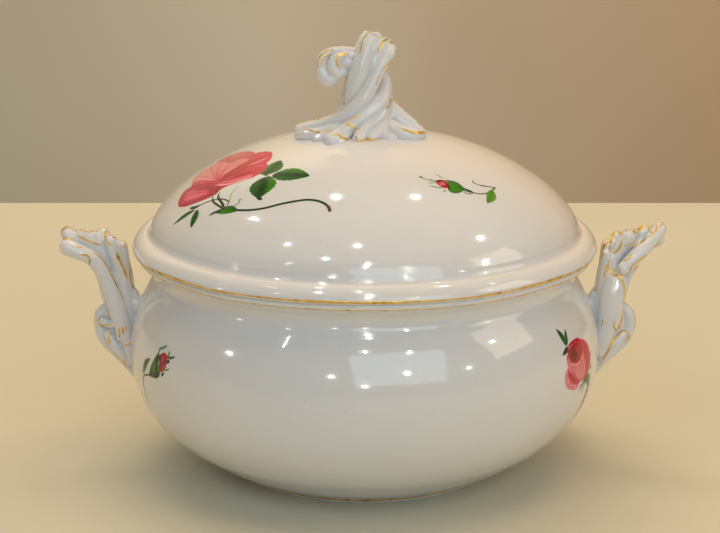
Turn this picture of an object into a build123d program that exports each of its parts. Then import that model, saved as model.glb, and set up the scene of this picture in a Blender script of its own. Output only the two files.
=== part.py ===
from build123d import *
import os

# Round covered soup tureen in glazed, hand-painted porcelain: a bellied bowl on a low foot,
# a domed lid with a sculpted scroll knob, and two leaf handles that stand free of the rim.
#
# Frame: millimetres, +Z up. The origin is the centre of the foot on the table.
# The handles lie along X and the front of the knob faces -Y.

# ---- driving dimensions ------------------------------------------------------------------
overall_width = 325.0        # over the tips of the two handles
overall_height = 234.0       # table to the top of the knob
foot_radius = 75.0           # outside edge of the foot where it meets the table
foot_height = 3.2
foot_width = 5.5
belly_radius = 125.8
belly_height = 62.0
neck_radius = 111.8
neck_height = 106.0
lip_radius = 121.2
lip_top = 119.0
lip_thickness = 3.2
wall = 4.2                   # porcelain wall of bowl and lid
seat_gap = 0.3               # play between the lid and the lip it rests on
lid_radius = 124.0
lid_flange_height = 8.3      # underside of the lid's rim to the top of its roll
dome_radius = 113.5          # where the dome springs from the rolled rim
dome_top = 181.5
ring_outer_radius = 105.4    # locating ring that drops inside the neck
ring_thickness = 3.0
ring_depth = 9.0             # how far the ring hangs below the lid's rim
handle_top = 130.0
handle_inner_edge = 126.8
knob_base = 176.0
gilding_depth = 0.3          # the fired gold lines, thickened to a solid band
gilding_width = 1.3
seam_angle = 50.0            # where round pieces start and end their turn about Z

lid_seat = lip_top + seat_gap
dome_spring = lid_seat + 13.7


# ---- helpers -----------------------------------------------------------------------------
def spun(*edges):
    """A solid of revolution about Z from a closed chain of edges in the XZ plane.

    The chain runs outwards along the bottom, up the outside and back along the top. The turn
    starts aside from the handles, so that no seam lies under them.
    """
    return Rot(0, 0, seam_angle) * revolve(make_face(Wire(edges)), Axis.Z, 360)


def line(start, end):
    """A straight edge between two (radius, height) points."""
    return Edge.make_line((start[0], 0, start[1]), (end[0], 0, end[1]))


def curve(points, tangents=None):
    """A smooth edge through (radius, height) points."""
    places = [(radius, 0, height) for radius, height in points]
    if tangents is None:
        return Edge.make_spline(places)
    return Edge.make_spline(places, tangents=[(dr, 0, dz) for dr, dz in tangents])


def band(low, high, inner, outer):
    """A plain ring of rectangular section, from one height and radius to another."""
    corners = [(inner, low), (outer, low), (outer, high), (inner, high)]
    ends = corners[1:] + corners[:1]
    return spun(*[line(start, end) for start, end in zip(corners, ends)])


def stacked(levels):
    """A solid through ellipses at rising heights, each (height, x from, x to, half width in y)."""
    sections = []
    for height, x_from, x_to, half_width in levels:
        place = Plane(origin=((x_from + x_to) / 2, 0, height))
        sections.append(place * Ellipse((x_to - x_from) / 2, half_width))
    return loft(sections)


# ---- bowl --------------------------------------------------------------------------------
def bowl_outline():
    """The bowl's outside, from the foot up to the underside of the lip, as (radius, height)."""
    return [
        (foot_radius + 2.5, foot_height),
        (86.6, 8.0),
        (95.8, 14.0),
        (107.2, 22.0),
        (115.9, 32.0),
        (122.8, 45.0),
        (belly_radius, belly_height),
        (124.6, 77.0),
        (120.2, 91.0),
        (115.2, 100.0),
        (neck_radius, neck_height),
    ]


def bowl_cavity():
    """The bowl's inside, a wall's thickness within the outline, as (radius, height)."""
    return [
        (74.0, foot_height + wall + 3.4),
        (94.0, 18.6),
        (106.0, 28.2),
        (118.6, 46.0),
        (belly_radius - wall, belly_height),
        (120.4, 77.0),
        (115.8, 91.0),
        (neck_radius - wall, neck_height),
    ]


def make_belly():
    """The bowl below its waist, open at the top."""
    outside = bowl_outline()
    inside = bowl_cavity()
    recess_radius = foot_radius - foot_width - 3
    recess_height = foot_height + 2.0
    floor_height = inside[0][1] - 0.6
    return spun(
        line((0, recess_height), (recess_radius, recess_height)),
        line((recess_radius, recess_height), (recess_radius + 2.5, foot_height)),
        line((recess_radius + 2.5, foot_height), outside[0]),
        curve(outside, [(1.0, 0.55), (-0.15, 1.0)]),
        line(outside[-1], inside[-1]),
        curve(inside[::-1], [(0.0, -1.0), (-1.0, -0.18)]),
        curve([inside[0], (0, floor_height)], [(-1.0, -0.18), (-1.0, 0.0)]),
        line((0, floor_height), (0, recess_height)),
    )


def make_neck():
    """The collar above the waist, which flares out to the lip that carries the lid."""
    waist = (neck_radius, neck_height)
    waist_inside = (neck_radius - wall, neck_height)
    lip_bottom = lip_top - lip_thickness
    lip_inner = (lip_radius - 9.0, lip_top)
    return spun(
        line(waist_inside, waist),
        curve([waist, (neck_radius + 3.2, 112.6), (lip_radius - 0.4, lip_bottom)],
              [(-0.15, 1.0), (1.0, 0.12)]),
        line((lip_radius - 0.4, lip_bottom), (lip_radius, lip_bottom + 0.5)),
        line((lip_radius, lip_bottom + 0.5), (lip_radius, lip_top - 0.6)),
        line((lip_radius, lip_top - 0.6), (lip_radius - 0.6, lip_top)),
        line((lip_radius - 0.6, lip_top), lip_inner),
        curve([lip_inner, waist_inside], [(-1.0, -0.4), (0.0, -1.0)]),
    )


def make_foot():
    outer_top = foot_radius + 1.4
    inner = foot_radius - foot_width
    return spun(
        line((inner + 1.2, 0), (foot_radius - 0.5, 0)),
        line((foot_radius - 0.5, 0), (foot_radius, 0.5)),
        line((foot_radius, 0.5), (outer_top, foot_height)),
        line((outer_top, foot_height), (inner - 0.4, foot_height)),
        line((inner - 0.4, foot_height), (inner + 1.2, 0)),
    )


# ---- lid ---------------------------------------------------------------------------------
def dome_outline():
    """The dome's outside from the spring at the rolled rim up to its apex, as (radius, height)."""
    return [
        (dome_radius, dome_spring),
        (111.0, 137.0),
        (106.0, 142.6),
        (98.0, 150.1),
        (88.0, 157.1),
        (75.0, 164.6),
        (60.0, 170.8),
        (45.0, 175.3),
        (25.0, 179.4),
        (0.0, dome_top),
    ]


def dome_cavity():
    """The dome's inside from its apex down to the locating ring, as (radius, height)."""
    return [
        (0.0, dome_top - wall),
        (50.0, 169.6),
        (75.0, 159.6),
        (94.0, 147.6),
        (103.2, 140.0),
        (107.6, 133.0),
        (106.3, 128.0),
        (ring_outer_radius - ring_thickness, lid_seat + 2.5),
    ]


def make_lid():
    outside = dome_outline()
    inside = dome_cavity()
    inner_radius = inside[-1][0]
    roll_top = lid_seat + lid_flange_height
    rim_crest = (lid_radius, lid_seat + 2.6)
    cavetto = (dome_radius + 1.8, roll_top + 0.3)
    return spun(
        line((inner_radius, lid_seat), (lid_radius - 2.4, lid_seat)),
        curve([(lid_radius - 2.4, lid_seat), rim_crest], [(1.0, 0.0), (0.0, 1.0)]),
        curve([rim_crest, (lid_radius - 3.6, roll_top - 1.0), cavetto], [(0.0, 1.0), (-1.0, 0.05)]),
        curve([cavetto, outside[0]], [(-1.0, 0.25), (-0.35, 1.0)]),
        curve(outside),
        line(outside[-1], inside[0]),
        curve(inside),
        line(inside[-1], (inner_radius, lid_seat)),
    )


def make_locating_ring():
    inner = ring_outer_radius - ring_thickness
    bottom = lid_seat - ring_depth
    return spun(
        line((inner, lid_seat), (inner + 0.3, bottom + 0.8)),
        line((inner + 0.3, bottom + 0.8), (inner + 1.0, bottom)),
        line((inner + 1.0, bottom), (ring_outer_radius - 1.2, bottom)),
        line((ring_outer_radius - 1.2, bottom), (ring_outer_radius - 0.5, bottom + 0.8)),
        line((ring_outer_radius - 0.5, bottom + 0.8), (ring_outer_radius, lid_seat)),
        line((ring_outer_radius, lid_seat), (inner, lid_seat)),
    )


# ---- knob --------------------------------------------------------------------------------
knob_levels = [
    (knob_base, -17.0, 19.0, 16.0),
    (182.0, -15.0, 17.5, 14.5),
    (188.0, -12.0, 15.0, 12.5),
    (194.0, -11.3, 13.8, 11.0),
    (201.0, -11.0, 13.2, 10.5),
    (208.0, -10.2, 12.2, 10.0),
    (214.0, -9.2, 12.8, 10.0),
    (220.0, -7.8, 16.0, 10.5),
    (226.0, -6.2, 16.8, 11.0),
    (231.0, -4.2, 12.0, 9.0),
    (overall_height, -1.0, 7.0, 5.0),
]
scroll_centre = (-16.0, 213.6)
scroll_radius = 6.6
scroll_thickness = 3.2
scroll_sweep = 292.0
scroll_start = 22.0

# Leaf feet: direction about Z, distance of the leaf's middle from the axis, height above the
# dome, the three half sizes (outwards, sideways, up) and the downward tilt in degrees.
leaf_feet = {
    "knob_left_leaf": (180.0, 23.5, 1.2, (15.0, 9.5, 4.6), 10.0),
    "knob_front_leaf": (256.0, 16.5, 0.2, (9.5, 9.0, 4.6), 14.0),
    "knob_right_leaf": (352.0, 20.5, 3.0, (16.0, 9.0, 6.0), 34.0),
    "knob_back_leaf": (92.0, 17.5, 0.6, (13.0, 10.0, 5.2), 16.0),
}


def make_scroll(stem):
    section = Plane.XY * Pos(scroll_radius, 0) * Circle(scroll_thickness)
    hoop = revolve(section, Axis.Y, scroll_sweep)
    placed = Pos(scroll_centre[0], 0, scroll_centre[1]) * Rot(0, -scroll_start, 0) * hoop
    return placed - stem


def make_leaf(place, dome, taken):
    direction, distance, rise, half_sizes, tilt = place
    pad = scale(Sphere(1.0), by=half_sizes)
    height = dome_top - 2.0 + rise
    leaf = Rot(0, 0, direction) * Pos(distance, 0, height) * Rot(0, tilt, 0) * pad
    leaf = leaf - dome
    for neighbour in taken:
        leaf = leaf - neighbour
    return max(leaf.solids(), key=lambda solid: solid.volume)


# ---- handles -----------------------------------------------------------------------------
handle_tip = overall_width / 2
handle_levels = [
    (45.0, 119.0, 125.4, 3.6),
    (52.0, 117.0, 130.6, 6.0),
    (60.0, 115.0, 138.6, 8.0),
    (68.0, 115.0, 144.6, 9.0),
    (76.0, 115.0, 146.4, 9.0),
    (84.0, 114.0, 143.6, 8.5),
    (90.0, 116.0, 140.8, 8.5),
    (95.0, 122.6, 140.8, 8.5),
    (101.0, 126.0, 142.2, 9.0),
    (107.0, handle_inner_edge, 145.6, 10.0),
    (113.0, handle_inner_edge + 0.4, 153.6, 11.5),
    (119.0, 129.0, 160.6, 13.0),
    (125.0, 132.6, handle_tip, 13.0),
    (handle_top, 143.0, 159.0, 7.0),
]


def make_handle(bowl_core):
    """The handle on the +X side, cut to the belly it is luted to."""
    ear = stacked(handle_levels) - bowl_core
    return max(ear.solids(), key=lambda solid: solid.volume)


# ---- assembly ----------------------------------------------------------------------------
bowl_belly = make_belly()
bowl_neck = make_neck()
foot_ring = make_foot()
lid_dome = make_lid()
lid_locating_ring = make_locating_ring()

lid_gold_height = lid_seat + 1.9
lid_rim_gilding = band(lid_gold_height - gilding_width / 2, lid_gold_height + gilding_width / 2,
                       lid_radius - gilding_depth - 0.8, lid_radius + 0.1)
lid_dome = lid_dome - lid_rim_gilding

lip_gold_height = lip_top - lip_thickness + 1.1
bowl_lip_gilding = band(lip_gold_height - gilding_width / 2, lip_gold_height + gilding_width / 2,
                        lip_radius - gilding_depth, lip_radius + 0.1)
bowl_neck = bowl_neck - bowl_lip_gilding

foot_gilding = band(foot_height - gilding_width, foot_height, foot_radius + 0.5, foot_radius + 1.5)
foot_ring = foot_ring - foot_gilding

# The bowl's outside as a filled body, for cutting the handles to the belly.
core_outline = bowl_outline()
bowl_core = spun(
    line((0, foot_height), core_outline[0]),
    curve(core_outline, [(1.0, 0.55), (-0.15, 1.0)]),
    line(core_outline[-1], (0, neck_height)),
    line((0, neck_height), (0, foot_height)),
)
right_handle = make_handle(bowl_core)
left_handle = Rot(0, 0, 180) * right_handle

# The dome's outside as a filled body, for seating the knob and its leaves on the lid.
dome_core = spun(
    line((0, dome_spring), (dome_radius, dome_spring)),
    curve(dome_outline()),
    line((0, dome_top), (0, dome_spring)),
)
knob_stem = stacked(knob_levels) - dome_core
knob_scroll = make_scroll(knob_stem)

nodes = {
    "bowl_belly": bowl_belly,
    "bowl_neck": bowl_neck,
    "foot_ring": foot_ring,
    "left_handle": left_handle,
    "right_handle": right_handle,
    "bowl_lip_gilding": bowl_lip_gilding,
    "foot_gilding": foot_gilding,
    "lid_dome": lid_dome,
    "lid_locating_ring": lid_locating_ring,
    "lid_rim_gilding": lid_rim_gilding,
    "knob_stem": knob_stem,
    "knob_scroll": knob_scroll,
}
taken = [knob_stem, knob_scroll]
for name, place in leaf_feet.items():
    nodes[name] = make_leaf(place, dome_core, taken)
    taken.append(nodes[name])

os.makedirs("parts", exist_ok=True)
for name, solid in nodes.items():
    solid.label = name
    export_step(solid, "parts/" + name + ".step")
    box = solid.bounding_box()
    print(name, round(solid.volume / 1000, 2), "cm3", box.min, box.max)
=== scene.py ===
import math

import bpy
import numpy as np
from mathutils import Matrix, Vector
from mathutils.bvhtree import BVHTree


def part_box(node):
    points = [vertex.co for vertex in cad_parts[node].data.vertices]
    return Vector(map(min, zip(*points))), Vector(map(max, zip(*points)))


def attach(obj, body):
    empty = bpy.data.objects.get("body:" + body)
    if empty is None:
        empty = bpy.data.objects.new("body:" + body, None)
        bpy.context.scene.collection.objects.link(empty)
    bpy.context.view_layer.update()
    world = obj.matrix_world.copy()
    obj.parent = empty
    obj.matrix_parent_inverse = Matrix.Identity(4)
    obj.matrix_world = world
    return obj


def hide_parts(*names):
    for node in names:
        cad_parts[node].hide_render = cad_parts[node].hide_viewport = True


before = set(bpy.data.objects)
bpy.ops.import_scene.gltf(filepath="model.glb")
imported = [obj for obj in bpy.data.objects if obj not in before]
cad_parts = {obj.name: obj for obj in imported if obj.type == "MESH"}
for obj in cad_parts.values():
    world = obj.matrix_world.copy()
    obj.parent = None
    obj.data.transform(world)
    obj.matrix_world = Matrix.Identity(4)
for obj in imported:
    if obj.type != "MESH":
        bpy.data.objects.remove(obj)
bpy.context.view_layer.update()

# Round covered tureen in painted porcelain. Outlines are in millimetres, as (radius, height);
# meshes are in metres. Angles about the vertical are measured from the front (-Y) towards +X.
MM = 0.001
noise = np.random.default_rng(7)


# ---- sizes from the frame ----------------------------------------------------------------
def box_mm(node):
    """The low and the high corner of a CAD node's box, in millimetres."""
    low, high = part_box(node)
    return np.array(low) / MM, np.array(high) / MM


lid_low, lid_high = box_mm("lid_dome")
ring_low, ring_high = box_mm("lid_locating_ring")
neck_high = box_mm("bowl_neck")[1]
foot_high = box_mm("foot_ring")[1]

LIP_RADIUS, LIP_TOP = neck_high[0], neck_high[2]
BELLY_RADIUS = box_mm("bowl_belly")[1][0]
FOOT_FLARE = 0.73  # how much wider the foot ring is just under its gold line than at the table
FOOT_RADIUS = foot_high[0] - FOOT_FLARE
FOOT_TOP = foot_high[2]
LID_SEAT = lid_low[2]
LID_RADIUS = lid_high[0]
DOME_TOP = lid_high[2]
RING_RADIUS = ring_high[0]
RING_LOW = ring_low[2]
NECK_RADIUS = 111.8  # outside, at the waist
WALL = 4.2


# ---- small tools -------------------------------------------------------------------------
def new_object(name, verts, faces, smooth=True):
    """A mesh object in the scene from points in metres."""
    mesh = bpy.data.meshes.new(name)
    mesh.from_pydata([tuple(v) for v in verts], [], [tuple(f) for f in faces])
    mesh.validate()
    mesh.polygons.foreach_set("use_smooth", [smooth] * len(mesh.polygons))
    mesh.update()
    obj = bpy.data.objects.new(name, mesh)
    bpy.context.scene.collection.objects.link(obj)
    return obj


def through(points, count):
    """count points on a smooth curve through the given points (centripetal Catmull-Rom)."""
    points = np.array(points, float)
    if len(points) == 2:
        steps = np.linspace(0, 1, count)[:, None]
        return points[0] * (1 - steps) + points[1] * steps
    padded = np.vstack([2 * points[0] - points[1], points, 2 * points[-1] - points[-2]])
    gaps = np.linalg.norm(np.diff(padded, axis=0), axis=1) ** 0.5
    knots = np.concatenate([[0], np.cumsum(gaps)])
    places = np.linspace(knots[1], knots[-2], count)
    line = []
    for t in places:
        i = int(np.clip(np.searchsorted(knots, t) - 1, 1, len(padded) - 3))
        p0, p1, p2, p3 = padded[i - 1:i + 3]
        t0, t1, t2, t3 = knots[i - 1:i + 3]
        a1 = (t1 - t) / (t1 - t0) * p0 + (t - t0) / (t1 - t0) * p1
        a2 = (t2 - t) / (t2 - t1) * p1 + (t - t1) / (t2 - t1) * p2
        a3 = (t3 - t) / (t3 - t2) * p2 + (t - t2) / (t3 - t2) * p3
        b1 = (t2 - t) / (t2 - t0) * a1 + (t - t0) / (t2 - t0) * a2
        b2 = (t3 - t) / (t3 - t1) * a2 + (t - t1) / (t3 - t1) * a3
        line.append((t2 - t) / (t2 - t1) * b1 + (t - t1) / (t2 - t1) * b2)
    return np.array(line)


def smoothstep(low, high, value):
    t = np.clip((value - low) / (high - low), 0, 1)
    return t * t * (3 - 2 * t)


# ---- the lobed rim -----------------------------------------------------------------------
RIM_CORNERS = np.radians([-62, -38, 27, 62, 118, 142, 207, 242, 298])
LOBE_DEPTH = 0.85


def lobing(angle):
    """How far the rim stands out (mm) at an angle: shallow arcs that meet in soft corners."""
    angle = (np.asarray(angle, float) - RIM_CORNERS[0]) % (2 * math.pi) + RIM_CORNERS[0]
    index = np.clip(np.searchsorted(RIM_CORNERS, angle, side="right") - 1, 0, len(RIM_CORNERS) - 2)
    start, end = RIM_CORNERS[index], RIM_CORNERS[index + 1]
    t = (angle - start) / (end - start)
    depth = LOBE_DEPTH * (0.6 + 0.4 * smoothstep(0.4, 1.1, end - start))
    return depth * (0.9 - 1.9 * np.sqrt(np.sin(math.pi * t) ** 2 + 0.02))


def spun(name, outline, weight=None, turns=320):
    """A shell of revolution from a closed or axis-to-axis outline, lobed by weight(r, z)."""
    outline = np.array(outline, float)
    angles = np.arange(turns) / turns * 2 * math.pi
    lobes = lobing(angles)
    verts, rows = [], []
    for radius, height in outline:
        if radius < 1e-6:
            rows.append([len(verts)])
            verts.append((0, 0, height * MM))
            continue
        push = weight(radius, height) if weight else 0
        wide = (radius + push * lobes) * MM
        rows.append(list(range(len(verts), len(verts) + turns)))
        verts.extend(zip(wide * np.sin(angles), -wide * np.cos(angles), [height * MM] * turns))
    faces = []
    for low, high in zip(rows, rows[1:]):
        for k in range(turns):
            n = (k + 1) % turns
            ring = [low[k % len(low)], low[n % len(low)], high[n % len(high)], high[k % len(high)]]
            face = list(dict.fromkeys(ring))
            if len(face) > 2:
                faces.append(face)
    return new_object(name, verts, faces)


# ---- outlines of the round pieces --------------------------------------------------------
LIP_UNDER = LIP_TOP - 3.2
BOWL_OUTSIDE = through([
    (FOOT_RADIUS + 2.3, FOOT_TOP), (79.6, 4.3), (86.6, 8.0), (95.8, 14.0), (107.2, 22.4),
    (115.9, 32.0), (122.8, 45.0), (BELLY_RADIUS, 62.0), (124.6, 77.0), (120.2, 91.0),
    (115.4, 99.6), (112.4, 104.2), (NECK_RADIUS, 107.4),
], 110)
BOWL_NECK = through([
    (NECK_RADIUS, 107.4), (112.9, 110.6), (115.6, 113.6), (119.0, 115.3), (LIP_RADIUS - 0.5, LIP_UNDER),
], 24)
BOWL_LIP = through([
    (LIP_RADIUS - 0.5, LIP_UNDER), (LIP_RADIUS, LIP_UNDER + 0.7), (LIP_RADIUS, LIP_TOP - 0.8),
    (LIP_RADIUS - 0.8, LIP_TOP), (LIP_RADIUS - 4, LIP_TOP), (LIP_RADIUS - 8.4, LIP_TOP - 0.3),
    (LIP_RADIUS - 11.4, LIP_TOP - 3.4), (NECK_RADIUS - WALL, 107.0),
], 34)
BOWL_INSIDE = through([
    (NECK_RADIUS - WALL, 107.0), (110.2, 100.6), (115.8, 91.0), (120.4, 77.0), (121.6, 62.0),
    (118.6, 46.0), (106.0, 28.2), (94.0, 18.8), (74.0, 11.6), (40.0, 10.2), (0.0, 10.0),
], 80)
BOWL_UNDER = through([
    (0.0, FOOT_TOP + 2.0), (FOOT_RADIUS - 12, FOOT_TOP + 2.0), (FOOT_RADIUS - 8.5, FOOT_TOP + 1.8),
    (FOOT_RADIUS - 7.0, FOOT_TOP + 0.1),
], 20)

DOME_OUTSIDE = through([
    (0.0, DOME_TOP), (25.0, 179.4), (45.0, 175.3), (60.0, 170.8), (75.0, 164.6), (88.0, 157.1),
    (98.0, 150.1), (106.0, 142.6), (110.8, 136.8), (113.3, 132.2),
], 110)
LID_COVE = through([
    (113.3, 132.2), (114.0, 129.9), (114.9, 128.3), (116.1, 127.5),
], 12)
LID_ROLL = through([
    (116.1, 127.5), (118.4, 127.4), (121.0, 126.2), (123.0, 123.9), (LID_RADIUS, 121.7),
    (123.7, 120.2), (LID_RADIUS - 1.6, LID_SEAT),
], 44)
LID_UNDER = through([(LID_RADIUS - 1.6, LID_SEAT), (RING_RADIUS - 3.0, LID_SEAT)], 8)
LID_INSIDE = through([
    (RING_RADIUS - 3.0, LID_SEAT), (RING_RADIUS - 2.9, LID_SEAT + 2.5), (106.3, 128.0), (107.6, 133.0),
    (103.2, 140.0), (94.0, 147.6), (75.0, 159.6), (50.0, 169.6), (25.0, 175.2), (0.0, 177.3),
], 70)


def chain(*stretches):
    """Joins outlines end to end, without repeating the points where they meet."""
    line = list(stretches[0])
    for stretch in stretches[1:]:
        line.extend(stretch[1:])
    return np.array(line)


def bowl_lobes(radius, height):
    """The bowl is round, and its lip is fully lobed."""
    return float(smoothstep(108.0, 117.0, height)) * float(smoothstep(104.0, 113.0, radius))


def lid_lobes(radius, height):
    """The dome is round, and the rolled rim is fully lobed."""
    return float(smoothstep(109.0, 121.0, radius)) * float(smoothstep(142.0, 128.0, height))


# ---- materials ---------------------------------------------------------------------------
class Shader:
    """A node-based material on one Principled shader, built a node at a time."""

    def __init__(self, name):
        self.material = bpy.data.materials.new(name)
        self.material.use_nodes = True
        self.nodes = self.material.node_tree.nodes
        self.links = self.material.node_tree.links
        self.main = self.nodes["Principled BSDF"]

    def set(self, **values):
        for key, value in values.items():
            self.main.inputs[key.replace("_", " ")].default_value = value

    def add(self, kind, links=(), **values):
        """A node of this kind. links are (input name, socket); values set inputs or properties."""
        node = self.nodes.new(kind)
        for key, value in values.items():
            if hasattr(node, key):
                setattr(node, key, value)
            else:
                node.inputs[key.replace("_", " ")].default_value = value
        for name, socket in links:
            self.links.new(socket, node.inputs[name])
        return node

    def drive(self, name, socket):
        self.links.new(socket, self.main.inputs[name])

    def noise(self, scale, detail=3.0, roughness=0.5):
        place = self.add("ShaderNodeTexCoord").outputs["Object"]
        node = self.add("ShaderNodeTexNoise", [("Vector", place)], Scale=scale, Detail=detail,
                        Roughness=roughness)
        return node.outputs["Fac"]

    def ramp(self, socket, stops):
        node = self.add("ShaderNodeValToRGB", [("Fac", socket)])
        ramp = node.color_ramp
        while len(ramp.elements) < len(stops):
            ramp.elements.new(0.5)
        for element, (place, colour) in zip(ramp.elements, stops):
            element.position = place
            element.color = (*colour, 1.0)
        return node.outputs["Color"]

    def level(self, socket, low, high, start=0.0, end=1.0):
        """Maps a value that runs from start to end onto low to high."""
        node = self.add("ShaderNodeMapRange", [("Value", socket)])
        node.inputs["From Min"].default_value = start
        node.inputs["From Max"].default_value = end
        node.inputs["To Min"].default_value = low
        node.inputs["To Max"].default_value = high
        return node.outputs["Result"]

    def mix(self, factor, first, second):
        node = self.add("ShaderNodeMix", data_type="RGBA")
        for index, value in ((0, factor), (6, first), (7, second)):
            if isinstance(value, bpy.types.NodeSocket):
                self.links.new(value, node.inputs[index])
            elif index == 0:
                node.inputs[index].default_value = value
            else:
                node.inputs[index].default_value = (*value, 1.0)
        return node.outputs[2]

    def relief(self, socket, depth, distance, after=None):
        links = [("Height", socket)]
        if after is not None:
            links.append(("Normal", after))
        node = self.add("ShaderNodeBump", links, Strength=depth, Distance=distance)
        return node.outputs["Normal"]


def porcelain_tint(shader):
    """Faint grey-blue to cream drift of the body under the glaze, with rare dark specks."""
    drift = shader.ramp(shader.noise(9.0, 2.0), [(0.3, (0.80, 0.81, 0.835)), (0.7, (0.83, 0.825, 0.82))])
    speck = shader.level(shader.noise(620.0, 1.0), 0.0, 0.35, 0.775, 0.80)
    return shader.mix(speck, drift, (0.45, 0.40, 0.34))


def glaze(shader):
    """The gloss of the glaze: a clear, faintly rippled skin over the colour below."""
    shader.set(IOR=1.52, Specular_IOR_Level=0.62, Coat_Weight=0.5, Coat_Roughness=0.03, Coat_IOR=1.5)
    shader.drive("Roughness", shader.level(shader.noise(45.0, 2.0), 0.05, 0.11, 0.3, 0.7))
    wide = shader.relief(shader.noise(28.0, 1.0), 0.10, 0.0012)
    fine = shader.relief(shader.noise(260.0, 2.0), 0.05, 0.0003, wide)
    shader.drive("Normal", fine)


def make_porcelain():
    shader = Shader("glazed_white_porcelain")
    # Painted shade: the porcelain turns blue-grey in the creases, where the glaze also pools thicker.
    glaze_pool_and_shade = shader.add("ShaderNodeAttribute", attribute_name="glaze_pool_and_crease_shade").outputs["Fac"]
    shader.drive("Base Color", shader.mix(glaze_pool_and_shade, porcelain_tint(shader), (0.55, 0.60, 0.66)))
    glaze(shader)
    shader.set(Subsurface_Weight=0.06, Subsurface_Scale=0.004)
    return shader.material


def make_biscuit():
    shader = Shader("ground_biscuit_foot")
    grain = shader.noise(900.0, 4.0, 0.7)
    wear = shader.noise(60.0, 3.0)
    clean = shader.ramp(grain, [(0.3, (0.66, 0.63, 0.58)), (0.7, (0.80, 0.78, 0.74))])
    soiled = shader.level(wear, 0.0, 0.5, 0.5, 0.75)
    shader.drive("Base Color", shader.mix(soiled, clean, (0.50, 0.44, 0.36)))
    shader.drive("Roughness", shader.level(grain, 0.6, 0.85, 0.3, 0.7))
    shader.drive("Normal", shader.relief(grain, 0.35, 0.0003))
    return shader.material


def make_gold():
    shader = Shader("fired_gold_line")
    stroke = shader.noise(190.0, 3.0)
    thin = shader.noise(900.0, 2.0)
    metal = shader.ramp(stroke, [(0.25, (0.55, 0.31, 0.05)), (0.5, (0.80, 0.52, 0.12)),
                                 (0.75, (0.92, 0.68, 0.24))])
    worn = shader.level(thin, 0.0, 0.55, 0.58, 0.75)
    shader.drive("Base Color", shader.mix(worn, metal, (0.40, 0.22, 0.07)))
    shader.set(Metallic=0.6)
    shader.drive("Roughness", shader.level(stroke, 0.24, 0.42, 0.3, 0.7))
    shader.drive("Normal", shader.relief(thin, 0.25, 0.0002))
    return shader.material


PORCELAIN = make_porcelain()
BISCUIT = make_biscuit()
GOLD = make_gold()


def dress(obj, material, slot, body, *nodes):
    """Gives a finished piece its material, its body and the CAD nodes it stands for; slot is not used."""
    obj.data.materials.clear()
    obj.data.materials.append(material)
    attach(obj, body)
    if nodes:
        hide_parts(*nodes)
    return obj


# ---- the shells --------------------------------------------------------------------------
bowl = spun("bowl_shell", chain(BOWL_OUTSIDE, BOWL_NECK, BOWL_LIP, BOWL_INSIDE), bowl_lobes)
dress(bowl, PORCELAIN, "glazed_porcelain", "bowl", "bowl_belly", "bowl_neck")

FOOT_INNER = FOOT_RADIUS - 5.5
FOOT_INSIDE = through([
    (FOOT_RADIUS - 7.0, FOOT_TOP + 0.1), (FOOT_INNER - 0.2, FOOT_TOP - 0.4),
    (FOOT_INNER + 0.4, 1.2), (FOOT_INNER + 1.2, 0.35),
], 12)
underside = spun("foot_recess", chain(BOWL_UNDER, FOOT_INSIDE))
dress(underside, PORCELAIN, "glazed_porcelain", "bowl")
FOOT_SIDE = through([
    (FOOT_RADIUS - 0.7, 0.3), (FOOT_RADIUS - 0.1, 0.9), (FOOT_RADIUS + 0.7, 2.4),
    (FOOT_RADIUS + 1.4, FOOT_TOP - 0.2), (FOOT_RADIUS + 2.3, FOOT_TOP),
], 16)
foot_side = spun("foot_ring_side", FOOT_SIDE)
dress(foot_side, PORCELAIN, "glazed_porcelain", "bowl")
FOOT_FACE = through([
    (FOOT_INNER + 1.2, 0.35), (FOOT_INNER + 1.7, 0.03), (FOOT_RADIUS - 3.0, 0.0),
    (FOOT_RADIUS - 1.2, 0.03), (FOOT_RADIUS - 0.7, 0.3),
], 14)
foot_face = spun("foot_ring_ground_face", FOOT_FACE)
dress(foot_face, BISCUIT, "bare_porcelain", "bowl", "foot_ring")

lid = spun("lid_shell", chain(DOME_OUTSIDE, LID_COVE, LID_ROLL, LID_UNDER, LID_INSIDE), lid_lobes)
dress(lid, PORCELAIN, "glazed_porcelain", "lid", "lid_dome")
RING_SECTION = through([
    (RING_RADIUS, LID_SEAT), (RING_RADIUS - 0.4, RING_LOW + 1.2), (RING_RADIUS - 1.5, RING_LOW),
    (RING_RADIUS - 2.3, RING_LOW + 0.9), (RING_RADIUS - 3.0, LID_SEAT),
], 30)
locating_ring = spun("lid_ring", RING_SECTION)
dress(locating_ring, PORCELAIN, "glazed_porcelain", "lid", "lid_locating_ring")


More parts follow.
